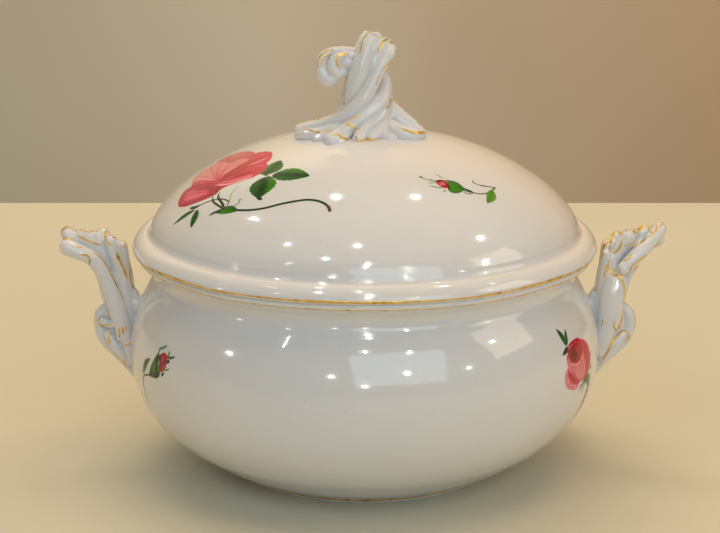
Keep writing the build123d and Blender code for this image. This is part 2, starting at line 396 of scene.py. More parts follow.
# ---- gold lines on the round edges -------------------------------------------------------
def gold_ring(name, outline, weight, place, width, waver):
    """A hand-drawn gold line round a lathe outline, centred on the outline point nearest place."""
    fine = through(outline, 12 * len(outline))
    travel = np.concatenate([[0], np.cumsum(np.linalg.norm(np.diff(fine, axis=0), axis=1))])
    middle = travel[np.argmin(np.linalg.norm(fine - np.array(place), axis=1))]
    slope = np.gradient(fine, travel, axis=0)
    normals = np.stack([-slope[:, 1], slope[:, 0]], axis=1)
    if normals[np.argmin(abs(travel - middle))][0] < 0:
        normals = -normals
    turns = 720
    angles = np.arange(turns) / turns * 2 * math.pi
    phases = noise.uniform(0, 2 * math.pi, 8)
    wander = sum(np.sin(angles * (3 + 5 * i) + phases[i]) / (2 + i) for i in range(4)) * waver
    swell = 1 + 0.22 * sum(np.sin(angles * (7 + 11 * i) + phases[4 + i]) / (1 + i) for i in range(4))
    verts, faces = [], []
    # The line's section: shares of its width, and how far (mm) it stands off the glaze there.
    across = [
        (-0.5, 0.012), (-0.42, 0.06), (-0.21, 0.08), (0.0, 0.08), (0.21, 0.08), (0.42, 0.06), (0.5, 0.012),
    ]
    for angle, shift, wide in zip(angles, wander, swell):
        for side, proud in across:
            at = middle + shift + side * width * wide
            radius = np.interp(at, travel, fine[:, 0])
            height = np.interp(at, travel, fine[:, 1])
            nr = np.interp(at, travel, normals[:, 0])
            nz = np.interp(at, travel, normals[:, 1])
            lobe = weight(radius, height) * float(lobing(angle)) if weight else 0
            r = radius + lobe + nr * proud
            z = height + nz * proud
            verts.append((r * math.sin(angle) * MM, -r * math.cos(angle) * MM, z * MM))
    count = len(across)
    for k in range(turns):
        n = (k + 1) % turns
        for j in range(count - 1):
            faces.append((k * count + j, n * count + j, n * count + j + 1, k * count + j + 1))
    return new_object(name, verts, faces)


lid_gold = gold_ring("lid_rim_gold", LID_ROLL, lid_lobes, (LID_RADIUS - 0.15, LID_SEAT + 1.6), 1.25, 0.10)
dress(lid_gold, GOLD, "gilding", "lid", "lid_rim_gilding")
lip_gold = gold_ring("bowl_lip_gold", BOWL_LIP, bowl_lobes, (LIP_RADIUS - 0.1, LIP_UNDER + 0.55), 0.6, 0.06)
dress(lip_gold, GOLD, "gilding", "bowl", "bowl_lip_gilding")
foot_gold = gold_ring("foot_gold", FOOT_SIDE, None, (FOOT_RADIUS + 0.6, FOOT_TOP - 1.1), 1.3, 0.06)
dress(foot_gold, GOLD, "gilding", "bowl", "foot_gilding")


# ---- sculpting tools ---------------------------------------------------------------------
class Clay:
    """Tapered strands laid one over another, then fused into one smooth closed form."""

    def __init__(self, strands):
        self.verts = []
        self.faces = []
        for rows in strands:
            self.strand(rows)

    def strand(self, rows, sides=18, steps=34):
        """A round strand with round ends, through rows of (x, y, z, radius) in mm."""
        rows = np.array(rows, float)
        # The radius stands twice in a row, so that its changes space the curve's points as well.
        line = through(np.column_stack([rows, rows[:, 3]]), steps)
        ahead = np.gradient(line[:, :3], axis=0)
        ahead /= np.linalg.norm(ahead, axis=1)[:, None]
        caps = []
        for end, sign in ((0, -1), (-1, 1)):
            cap = []
            for turn in (0.25, 0.5, 0.72, 0.9):
                radius = line[end, 3] * math.cos(turn * math.pi / 2)
                reach = math.sin(turn * math.pi / 2) * line[end, 3]
                cap.append((line[end, :3] + sign * ahead[end] * reach, ahead[end], radius))
            caps.append(cap)
        body = [(row[:3], way, row[3]) for row, way in zip(line, ahead)]
        stations = caps[0][::-1] + body + caps[1]
        start = len(self.verts)
        turns = np.arange(sides) / sides * 2 * math.pi
        for centre, way, radius in stations:
            across = np.cross((0.0, 1.0, 0.0), way)
            across /= max(np.linalg.norm(across), 1e-9)
            out = np.cross(way, across)
            ring = centre + np.outer(np.cos(turns) * radius, across) + np.outer(np.sin(turns) * radius, out)
            self.verts.extend(ring * MM)
        for k in range(len(stations) - 1):
            for j in range(sides):
                n = (j + 1) % sides
                a, b = start + k * sides, start + (k + 1) * sides
                self.faces.append((a + j, a + n, b + n, b + j))
        self.faces.append(tuple(range(start + sides - 1, start - 1, -1)))
        last = start + (len(stations) - 1) * sides
        self.faces.append(tuple(range(last, last + sides)))

    def fuse(self, name, voxel):
        """One smooth closed piece from all the strands, remeshed at this voxel size (mm)."""
        obj = new_object(name, self.verts, self.faces)
        remesh = obj.modifiers.new("remesh", "REMESH")
        remesh.mode = "VOXEL"
        remesh.voxel_size = voxel * MM
        melt = obj.modifiers.new("melt", "SMOOTH")
        melt.iterations = 3
        melt.factor = 0.5
        bpy.context.view_layer.update()
        solid = bpy.data.meshes.new_from_object(obj.evaluated_get(bpy.context.evaluated_depsgraph_get()))
        obj.modifiers.clear()
        obj.data = solid
        solid.polygons.foreach_set("use_smooth", [True] * len(solid.polygons))
        return obj


def points_of(obj):
    """The piece's points in millimetres."""
    flat = np.empty(len(obj.data.vertices) * 3)
    obj.data.vertices.foreach_get("co", flat)
    return flat.reshape(-1, 3) / MM


def move_points(obj, points):
    """Puts the piece's points at these places, in millimetres."""
    obj.data.vertices.foreach_set("co", (points * MM).ravel())
    obj.data.update()


def normals_of(obj):
    flat = np.empty(len(obj.data.vertices) * 3)
    obj.data.vertices.foreach_get("normal", flat)
    return flat.reshape(-1, 3)


def dent(obj, place, radius, depth):
    """Presses a soft hollow (mm) into the surface round a place."""
    points = points_of(obj)
    gap = np.linalg.norm(points - np.array(place), axis=1)
    push = depth * np.exp(-(gap / radius) ** 2 * 1.6)
    move_points(obj, points - normals_of(obj) * push[:, None])


SHADE_AND_POOL_REACH = 6  # how many times the surface is averaged with its neighbours to find its valleys
SHADE_AND_POOL_DEPTH = 0.22  # a valley this deep (mm) gets the full painted crease shade and the thickest glaze
SHADE_AND_POOL_TINT = 0.55  # how far the deepest valleys go towards blue-grey: painted shade in the creases, with the glaze pooled there


def glaze_pool_and_shade(obj):
    """Marks the valleys, where shade is painted and the glaze lies thicker, in a point attribute."""
    mesh = obj.data
    points = points_of(obj)
    edges = np.empty(len(mesh.edges) * 2, int)
    mesh.edges.foreach_get("vertices", edges)
    edges = edges.reshape(-1, 2)
    count = np.bincount(edges.ravel(), minlength=len(points))[:, None]
    soft = points.copy()
    for _ in range(SHADE_AND_POOL_REACH):
        total = np.zeros_like(soft)
        np.add.at(total, edges[:, 0], soft[edges[:, 1]])
        np.add.at(total, edges[:, 1], soft[edges[:, 0]])
        soft = total / np.maximum(count, 1)
    hollow = np.einsum("ij,ij->i", soft - points, normals_of(obj))
    value = np.clip(hollow / SHADE_AND_POOL_DEPTH, 0, 1) * SHADE_AND_POOL_TINT
    layer = mesh.attributes.new("glaze_pool_and_crease_shade", "FLOAT", "POINT")
    layer.data.foreach_set("value", value.astype(np.float32))


def surface_tree(obj):
    """A piece's surface, for finding the points that gold and paint lie on."""
    return BVHTree.FromObject(obj, bpy.context.evaluated_depsgraph_get())


# Gold is brushed on looking slightly down at the piece, from the front or from the back.
FROM_FRONT = (0, 0.967, -0.254)
FROM_BACK = (0, -0.967, -0.254)
GOLD_EDGE = 0.012  # how far the edge of a brushed line stands off the glaze, in mm
GOLD_LIFT = 0.07  # how much further its body stands off
GOLD_SPREAD = 1.3  # how much wider than its nominal width a line is brushed


class Brush:
    """Draws gold lines that cling to a finished form."""

    def __init__(self, obj):
        self.tree = surface_tree(obj)
        self.verts = []
        self.faces = []

    def land(self, place, ray=None):
        """The surface point and normal (mm) met along ray, or else the nearest."""
        if ray is not None:
            start = Vector(place) * MM - Vector(ray) * 0.03
            hit = self.tree.ray_cast(start, Vector(ray), 0.06)
            if hit[0] is not None:
                return np.array(hit[0]) / MM, np.array(hit[1])
        hit = self.tree.find_nearest(Vector(place) * MM)
        return np.array(hit[0]) / MM, np.array(hit[1])

    def line(self, points, width, ray):
        """A brushed line through points (mm), found on the surface along ray or as the nearest."""
        points = np.array(points, float)
        length = np.linalg.norm(np.diff(points, axis=0), axis=1).sum()
        count = max(6, int(length / 0.45))
        landed = [self.land(p, ray) for p in through(points, count)]
        places = np.array([p for p, _ in landed])
        normals = np.array([n for _, n in landed])
        for _ in range(2):
            places[1:-1] = (places[:-2] + 2 * places[1:-1] + places[2:]) / 4
        ahead = np.gradient(places, axis=0)
        start = len(self.verts)
        phase = noise.uniform(0, 6.28, 2)
        across = [(-0.5, 0.0), (-0.4, 1.0), (0.0, 1.15), (0.4, 1.0), (0.5, 0.0)]
        for k in range(count):
            side = np.cross(ahead[k], normals[k])
            side /= max(np.linalg.norm(side), 1e-9)
            t = k / (count - 1)
            swell = 1 + 0.16 * math.sin(9 * t + phase[0]) + 0.1 * math.sin(23 * t + phase[1])
            taper = 0.35 + 0.65 * min(1, math.sin(math.pi * min(max(t, 0.02), 0.98)) * 2.2)
            wide = GOLD_SPREAD * width * swell * taper
            for shift, lift in across:
                place, normal = self.land(places[k] + side * shift * wide)
                self.verts.append((place + normal * (GOLD_EDGE + GOLD_LIFT * lift)) * MM)
        size = len(across)
        for k in range(count - 1):
            for j in range(size - 1):
                a = start + k * size + j
                self.faces.append((a, a + 1, a + size + 1, a + size))

    def gild(self, name, front, back, edges):
        """All the lines, as (width, points), seen from the front, from the back and on the edges."""
        for ray, lines in ((FROM_FRONT, front), (FROM_BACK, back), (None, edges)):
            for width, points in lines:
                self.line(points, width, ray)
        return new_object(name, self.verts, self.faces)


# ---- the knob ----------------------------------------------------------------------------
# A rocaille stem of twisted flutes that flares to a scalloped cup leaning right, with a double
# C-scroll on its left and a swirl of leaves for a foot. Strands are (x, y, z, radius) in mm.
KNOB_STRANDS = [
    # core
    [(1.0, 1, 176, 13), (1.2, 0, 187, 9.5), (1.2, 0, 200, 8.8), (0.2, 0, 210, 7.2), (3.4, 0, 219, 7.4),
     (5.0, 0, 225, 6.0)],
    # front: the left face with the two upper lobes
    [(2.6, -3.6, 230.4, 3.4), (1.2, -5.2, 226, 4.1), (-0.8, -5.8, 219, 5.0), (-2.8, -5.8, 211, 5.6),
     (-4.6, -5.2, 203.5, 5.7), (-5.8, -3.5, 196, 5.2), (-6.8, -1, 189, 4.8)],
    [(-0.9, 0.5, 230.2, 1.9), (-2.4, -0.8, 225.5, 2.6), (-4.6, -1.6, 219.5, 3.6), (-6.2, -1.6, 212, 3.8),
     (-7.2, -1, 204, 3.8), (-7.4, 0, 195, 3.8)],
    [(8.6, -3.6, 228.2, 3.0), (7.2, -5.4, 224, 3.5), (4.8, -6.6, 218, 3.5), (2.2, -7.0, 213, 3.2),
     (0, -7.6, 208.5, 2.6)],
    # front: the strand from the right lobe that sweeps down into the left leaf
    [(13.8, -1.6, 224.0, 3.0), (12.4, -4.8, 222.2, 3.4), (9.4, -7.2, 218.2, 3.5), (6.6, -8.6, 213.0, 3.5),
     (3.8, -9.6, 207.3, 3.8), (0.5, -10.4, 201.3, 4.1), (-4.6, -10.8, 195, 4.1), (-11, -9.8, 189.6, 3.9),
     (-19, -7.2, 185.6, 3.7), (-28, -4.4, 182.9, 3.5), (-34.2, -2.6, 181.4, 3.1)],
    # front: the strand from the right edge that ends in the lower left bump
    [(8.0, 4.5, 211.5, 3.0), (10.3, 0.5, 207, 3.6), (10.3, -4.4, 202.2, 3.9), (7.8, -9.4, 197.6, 4.1),
     (3.2, -12.6, 193.2, 4.1), (-2.4, -14.4, 189.0, 3.9), (-8.4, -15.6, 185.2, 3.6),
     (-13.6, -18.5, 182.0, 3.6), (-17.0, -22.6, 179.4, 4.3)],
    [(8.8, 7, 204, 3.4), (11.0, 2, 198.6, 3.5), (10.4, -5.2, 194.2, 3.7), (7.4, -11.0, 190.2, 3.8),
     (3.0, -15.2, 186.4, 3.7), (-1.4, -18.6, 183.0, 3.4), (-3.4, -21.6, 180.2, 3.3)],
    [(10.5, 3, 192, 3.4), (11.4, -4, 189, 3.6), (9.6, -10.8, 186, 3.6), (6.6, -16, 183, 3.4),
     (3.4, -20.4, 180.4, 3.2)],
    # webs that fill the hollows between neighbours
    [(11.4, -1.6, 226.6, 3.1), (9.4, -4.4, 222, 3.2), (6.4, -6, 215, 3.0)],
    [(5.6, -3.4, 230.0, 3.0), (4.4, -5.2, 225, 3.2), (2.6, -6, 218, 3.2)],
    [(9.4, 2.6, 227.4, 3.0), (8, 4.5, 221, 3.4), (6.2, 6, 214, 3.6)],
    [(3.4, 5.0, 229.6, 3.0), (2, 6.2, 223, 3.6), (0, 7, 215, 4.0)],
    [(-7, -14.5, 184.5, 3.2), (-10.6, -18, 181.2, 3.2), (-12.2, -21.4, 179.0, 3.2)],
    [(-14, -14.5, 182.4, 3.4), (-20, -16, 180.2, 3.3), (-24.6, -16, 178.8, 3.1)],
    [(8, -13, 184, 3.4), (10.6, -16.6, 180.8, 3.4), (14, -18, 179.0, 3.0)],
    # left leaf: its back and front edges
    [(-10, 4, 187, 3.8), (-20, 4, 184, 3.4), (-29, 3.8, 182.2, 3.2), (-34.4, 2.2, 180.8, 2.9)],
    [(-12, -11, 184.5, 3.6), (-21, -11.4, 181.6, 3.4), (-29.5, -9.8, 180.0, 3.4),
     (-33.8, -6.6, 179.4, 3.1)],
    # right shell foot: top ridge, front side and back side
    [(9, 1, 197, 3.8), (14.6, 0.2, 190.6, 4.8), (20.6, -1.6, 185.0, 5.2), (25.6, -2.8, 181.6, 4.8),
     (28.6, -3.2, 180.2, 3.7)],
    [(13.5, -9.5, 184.5, 4.0), (19.6, -13.4, 181.4, 4.5), (25.6, -11.6, 180.2, 4.2),
     (29.0, -8.0, 179.6, 3.3)],
    [(14.5, 6, 186, 4.0), (21, 7.0, 182.4, 4.2), (26.5, 5.0, 180.4, 3.8)],
    # back, turning the same way
    [(11.2, 4.2, 225.4, 3.0), (9.4, 6.6, 219, 3.7), (7.8, 8.2, 212, 4.1), (7.8, 8.4, 206, 4.3),
     (9.6, 7.6, 199, 4.2), (12, 6.4, 193, 4.0), (16.5, 6.5, 187.2, 3.8), (22, 8.5, 182.6, 3.4)],
    [(6, 5.4, 229.4, 3.1), (4.5, 7.2, 223, 3.8), (2.5, 8, 215, 4.4), (1.5, 8.8, 207, 4.8),
     (3, 10.4, 200, 4.6), (7, 12.5, 193, 4.4), (12, 15, 186.6, 4.0), (17, 18.5, 181.2, 3.8)],
    [(0.8, 4, 230.4, 2.8), (-1.5, 5.8, 224, 3.6), (-3.5, 6.4, 216, 4.4), (-4.5, 7.4, 208, 4.8),
     (-3.5, 9.4, 201, 4.8), (0, 12.4, 194, 4.4), (4, 16, 187, 4.0), (7.5, 21, 180.8, 3.8)],
    [(-7, 2.6, 206, 3.6), (-8.6, 5, 199, 4.1), (-7.5, 9, 193, 4.2), (-4, 14, 186.8, 4.0),
     (-1.5, 19.5, 181.4, 3.6), (-1, 22.5, 179.6, 3.0)],
    [(-8.4, 1, 198, 3.6), (-9.6, 5, 192, 4.0), (-10.6, 10.5, 186.2, 4.0), (-10.4, 16.5, 181.6, 3.6),
     (-10, 20.5, 179.4, 3.2)],
    [(-10, -1, 192, 3.4), (-13.4, 3.5, 187.2, 3.6), (-17.5, 9, 182.9, 3.4), (-20, 13.6, 179.8, 3.2)],
    # scroll: outer strand, inner crescent and its eye
    [(-4, -1.5, 222.0, 2.6), (-9, -2, 223.4, 2.0), (-13.9, -2.2, 223.6, 1.9), (-18.6, -2.4, 222.6, 2.1),
     (-22.2, -2.6, 219.4, 2.7), (-22.8, -2.8, 214.6, 3.2), (-21.4, -3, 210.4, 3.7), (-18.8, -3, 208.3, 4.2),
     (-17.2, -3, 209.0, 4.0)],
    [(-6.5, -4.2, 220.8, 2.0), (-11, -4.4, 221.2, 2.1), (-15.2, -4.6, 219.6, 2.4),
     (-16.9, -4.8, 216.4, 2.7), (-16.0, -4.8, 213.4, 2.9), (-13.6, -4.6, 211.6, 2.9),
     (-11.4, -4.2, 212.6, 2.6)],
    [(-6, -3, 217, 3.4), (-10, -3.4, 217.6, 3.4), (-13, -3.6, 216.4, 2.2)],
    [(-17, -0.5, 215, 3.6), (-18.5, -0.6, 212.5, 3.2)],
]


def dome_height(radius):
    return np.interp(radius, DOME_OUTSIDE[:, 0], DOME_OUTSIDE[:, 1])


def make_knob():
    knob = Clay(KNOB_STRANDS).fuse("knob", 0.5)
    points = points_of(knob)
    floor = dome_height(np.hypot(points[:, 0], points[:, 1])) - 1.6
    points[:, 2] = np.maximum(points[:, 2], floor)
    move_points(knob, points)
    dent(knob, (5.0, 0, 231), 5.0, 5.0)
    glaze_pool_and_shade(knob)
    return knob


knob = make_knob()
dress(knob, PORCELAIN, "glazed_porcelain", "lid", "knob_stem", "knob_scroll", "knob_left_leaf",
      "knob_front_leaf", "knob_right_leaf", "knob_back_leaf")

# Gold lines, as (width, points) in mm.
KNOB_GOLD_FRONT = [
    (0.85, [(1.4, -8, 232.6), (-0.4, -8, 231.3), (-1.7, -8, 226.3), (-2.6, -8, 222.8)]),
    (0.85, [(12.4, -8, 231.0), (9.9, -8, 229.5), (8.3, -8, 227.1), (6.7, -8, 222.5)]),
    (0.8, [(15.8, -9, 219.7), (12.7, -9, 218.0), (10.7, -9, 216.0), (8.9, -9, 213.6)]),
    (0.5, [(7.9, -9, 212.0), (6.7, -9, 208.8), (5.7, -9, 205.5)]),
    (0.7, [(13.7, -8, 199.8), (13.1, -8, 196.1), (11.5, -8, 193.2)]),
    (0.75, [(-16.3, -6, 224.4), (-18.8, -6, 224.2), (-21.6, -6, 222.8), (-23.7, -6, 220.2),
            (-24.3, -6, 217.3), (-24.1, -6, 214.6)]),
    (0.6, [(-17.4, -7, 222.4), (-20.1, -7, 221.6), (-22.0, -7, 219.9), (-22.6, -7, 217.5),
           (-22.5, -7, 215.0)]),
    (1.0, [(-8.2, -8, 222.4), (-11.9, -8, 222.6), (-14.2, -8, 220.9), (-14.9, -8, 218.6),
           (-13.9, -8, 216.7), (-12.3, -8, 215.5)]),
    (0.7, [(-35.9, -8, 182.2), (-30.0, -8, 182.4), (-25.4, -8, 181.0), (-20.2, -8, 180.9),
           (-15.6, -8, 181.7)]),
    (0.75, [(-1.8, -15, 191.6), (-6.4, -15, 189.7), (-9.7, -15, 186.3)]),
    (0.85, [(-9.9, -15, 186.2), (-7.0, -15, 186.0), (-5.1, -15, 184.6), (-2.5, -15, 183.8)]),
    (1.0, [(-16.9, -19, 181.4), (-13.5, -19, 181.8), (-12.0, -19, 180.1), (-10.4, -19, 179.5),
           (-8.3, -19, 179.2)]),
    (1.0, [(-4.8, -20, 181.5), (-4.1, -20, 179.3), (-2.2, -20, 178.4), (0.1, -20, 179.3), (0.9, -20, 180.3),
           (2.0, -20, 179.6), (4.0, -20, 179.3), (6.6, -20, 180.3)]),
    (1.05, [(18.6, -9, 183.0), (23.0, -9, 181.3), (26.2, -9, 180.8), (29.5, -9, 181.0), (31.8, -9, 181.8)]),
    (0.6, [(27.4, -2, 185.0), (29.8, -2, 183.6), (31.2, -3, 182.0)]),
]
KNOB_GOLD_BACK = [
    (0.8, [(0.2, 9, 231.6), (-1.2, 9, 227), (-2.6, 9, 221)]),
    (0.8, [(8.2, 9, 229.6), (7.4, 9, 225), (5.6, 9, 219)]),
    (0.7, [(-9.4, 8, 200), (-9.6, 8, 195.5), (-8, 9, 191.5)]),
    (0.9, [(21.5, 20, 179.6), (18, 20, 181.5), (14, 20, 181.0), (11, 21, 179.8)]),
    (0.9, [(10, 22, 180.2), (7, 22, 181.8), (3.6, 22, 180.2), (1.2, 22, 180.6), (-2, 23, 181.4),
           (-4.4, 22, 180.0)]),
    (0.9, [(-7, 20, 180.4), (-11, 20, 181.6), (-15, 17, 180.6), (-20, 15, 181.0), (-24, 9, 181.0)]),
    (0.8, [(-35, 4, 182.6), (-28, 6, 183.4), (-20, 7, 184.2)]),
    (0.7, [(-21.4, 2, 222.4), (-24.0, 2, 219), (-24.4, 2, 214.8)]),
]
# the scalloped upper edge, then the upper edges of the leaves
KNOB_GOLD_EDGES = [
    (1.1, [(0.9, -5, 232.2), (2.8, -5, 234.0), (5.2, -5, 233.9), (6.3, -5, 232.2)]),
    (1.0, [(6.6, -5, 231.8), (8.9, -5, 231.8), (11.3, -4, 229.4)]),
    (1.0, [(11.7, -3, 227.6), (14.4, -2, 227.0), (16.6, -1, 225.0), (16.6, 0, 222.6)]),
    (0.8, [(16.4, 1, 223.6), (13.4, 5, 227.4), (10.4, 7, 227.8)]),
    (0.8, [(9.4, 6.5, 229.6), (6, 7.5, 232.2), (3.2, 6, 231.6), (0.4, 6, 232.6), (-2, 3, 231.2)]),
    (0.7, [(-37, -2, 182.0), (-34.9, 2, 183.7), (-28.9, 3, 185.2), (-19.7, 3, 187.2)]),
]
knob_gold = Brush(knob).gild("knob_gold", KNOB_GOLD_FRONT, KNOB_GOLD_BACK, KNOB_GOLD_EDGES)
dress(knob_gold, GOLD, "gilding", "lid")


# ---- the handles -------------------------------------------------------------------------
# One rocaille model serves both sides: a stem luted to the belly that opens into a leaning fan
# of lobes, with a fin outside its foot. It is laid out for the +X side, (x, y, z, radius) in mm.
HANDLE_STRANDS = [
    # stem and tail
    [(131.5, 0, 111, 5.0), (131.2, 0, 104, 6.4), (131.0, 0, 96, 7.2), (130.6, 0, 88, 8.0),
     (129.8, 0, 80, 8.2), (128.2, 0, 71, 8.0), (126.2, 1, 61, 6.2), (124.4, 1.5, 52, 4.2),
     (122.6, 2, 46.5, 2.2)],
    [(131, 0.4, 97, 4.2), (127.4, 0.8, 90.6, 4.4), (123, 1.2, 86.4, 5.0), (117, 1.2, 83.6, 6.2)],
    [(125.5, 0.4, 91, 4.4), (125, 0.4, 83, 5.2), (124.8, 0.4, 74, 5.2)],
    # front of the stem, a smooth pear-shaped body
    [(133.0, -5.0, 101, 5.0), (132.4, -6.0, 93, 6.4), (132.0, -6.3, 85, 6.6), (131.0, -6.0, 78, 6.2),
     (128.8, -5.4, 70, 5.2), (126.8, -4.6, 61, 3.8)],
    # back edge of the fan: a smooth tube from the far lobe down to the foot
    [(157.6, 9.6, 119.4, 4.5), (151.5, 10, 117.0, 4.2), (145.0, 8.8, 113.4, 4.0), (139.9, 8.2, 106.2, 4.1),
     (136.6, 7.8, 98.6, 4.3), (133.9, 7.6, 90, 4.7), (131.8, 7.4, 82, 4.8), (129.6, 6.8, 74, 4.2),
     (127.4, 6.0, 66, 3.6)],
    # the lobes of the fan, from the far one to the inner one
    [(157.0, 6.2, 124.6, 3.9), (150, 4.6, 120, 3.6), (143, 2.4, 114, 3.4), (136.5, 0.5, 107, 3.4)],
    [(150.6, 5.8, 125.2, 3.4), (145, 3.6, 120.2, 3.2), (139, 1.4, 113.6, 3.0), (134.2, -0.5, 106.5, 3.0)],
    [(144.8, 2.0, 124.4, 2.6), (141, 1.6, 119.6, 2.6), (136.6, 0.8, 112.5, 2.6)],
    [(140.4, -2.0, 123.8, 3.7), (137.6, -1.2, 118.4, 3.4), (134.6, -0.8, 112, 3.2),
     (132.2, -1, 105.4, 3.0)],
    [(135.4, 4.3, 121.8, 3.3), (133.8, 3.6, 115.6, 3.3), (131.8, 2.8, 108, 3.4), (130.2, 2.0, 100, 3.8)],
    [(129.9, 1.4, 118.2, 3.1), (129.2, 1.2, 111.5, 3.2), (128.9, 0.6, 104, 3.4), (128.4, 0.5, 96.5, 3.8)],
    [(129.4, -2.6, 114.2, 2.6), (129.0, -3.0, 107.5, 2.9), (128.6, -3.2, 100, 3.4), (128.0, -3, 93, 3.6)],
    # webs between the lobes
    [(153.8, 6.0, 124.2, 3.4), (147, 4.0, 119.2, 3.2), (140, 1.6, 112.6, 3.0)],
    [(147.6, 4.2, 123.9, 2.9), (142.8, 2.6, 118.8, 2.8), (137.6, 1.0, 112, 2.8)],
    [(142.6, 0.4, 122.8, 3.2), (139.2, 0.4, 117.6, 3.0), (135.4, 0.4, 111, 3.0)],
    [(138.0, 1.0, 121.4, 3.2), (135.6, 1.2, 115.6, 3.2), (133.0, 1.0, 109, 3.0)],
    [(132.6, 2.9, 119.2, 3.1), (131.4, 2.2, 113, 3.1), (130.2, 1.6, 106, 3.2)],
    # front edge of the fan: a tube from the far tip down to the eye
    [(158.0, 4.6, 126.0, 3.9), (153.8, 0.4, 121.2, 4.0), (148.3, -3.6, 116.5, 4.0),
     (142.0, -6.2, 111.2, 3.8), (137.8, -7.2, 107.2, 3.4)],
    [(136.4, -5.6, 101.5, 3.2), (137.0, -3.0, 94, 3.2), (136.4, -2, 86, 3.4)],
    [(145.4, -1.0, 108.4, 2.4), (142.6, 0.5, 104.0, 2.6), (140.2, 2.0, 97.5, 2.8), (138.6, 2.5, 90, 2.8)],
    # the fin outside the foot
    [(139.2, 0, 84.4, 2.6), (142.6, -0.4, 79.8, 3.1), (143.2, -0.4, 74.4, 3.2), (141.8, 0, 68.6, 3.4),
     (137.8, 0.4, 62.8, 3.4), (132.4, 0.8, 57.4, 3.2), (127.4, 1.4, 51.2, 2.7), (123.8, 1.8, 46.0, 2.0)],
    [(137.5, 0, 79, 3.6), (136.5, 0, 71, 4.2), (133, 0, 64, 4.2), (128.5, 0.6, 56.5, 3.6)],
    [(139.8, -4.2, 70.6, 2.3), (136.6, -4.8, 67.0, 2.9), (133.4, -4.6, 61.8, 3.0), (130.4, -4.0, 57.4, 2.6),
     (127.8, -3.4, 53.6, 1.9)],
    [(141.6, 4.4, 77.6, 1.9), (138.4, 5.4, 76.2, 2.2), (134.6, 6.4, 76.6, 2.4)],
    [(138.4, 4.6, 70.4, 2.4), (135.6, 5.6, 65.6, 2.8), (131.6, 5.8, 60, 2.8), (128, 5.2, 53.6, 2.2)],
    [(132.0, 8.8, 72.8, 1.6), (131.6, 8.4, 69.0, 1.6)],
    [(129.2, 9.0, 74.0, 1.5), (129.0, 8.6, 70.4, 1.5)],
    [(128.2, 6.8, 68.8, 2.4), (126.8, 6.6, 62.0, 2.6), (125.4, 6.0, 55, 2.2)],
]


def wall_radius(height):
    return np.interp(height, BOWL_OUTSIDE[:, 1], BOWL_OUTSIDE[:, 0])


def make_handle():
    handle = Clay(HANDLE_STRANDS).fuse("right_handle_leaf", 0.55)
    dent(handle, (132.8, -8.5, 106.6), 2.6, 3.2)
    dent(handle, (147.0, -1.0, 122.5), 4.0, 1.6)
    points = points_of(handle)
    radius = np.hypot(points[:, 0], points[:, 1])
    sunk = np.maximum(radius, wall_radius(points[:, 2]) - 2.0)
    points[:, :2] *= (sunk / radius)[:, None]
    move_points(handle, points)
    glaze_pool_and_shade(handle)
    return handle


def turned_copy(obj, name):
    """The same piece turned half a turn about the vertical."""
    mesh = obj.data.copy()
    copy = bpy.data.objects.new(name, mesh)
    bpy.context.scene.collection.objects.link(copy)
    points = points_of(copy)
    points[:, :2] *= -1
    move_points(copy, points)
    return copy


right_handle = make_handle()
left_handle = turned_copy(right_handle, "left_handle_leaf")
dress(right_handle, PORCELAIN, "glazed_porcelain", "bowl", "right_handle")
dress(left_handle, PORCELAIN, "glazed_porcelain", "bowl", "left_handle")


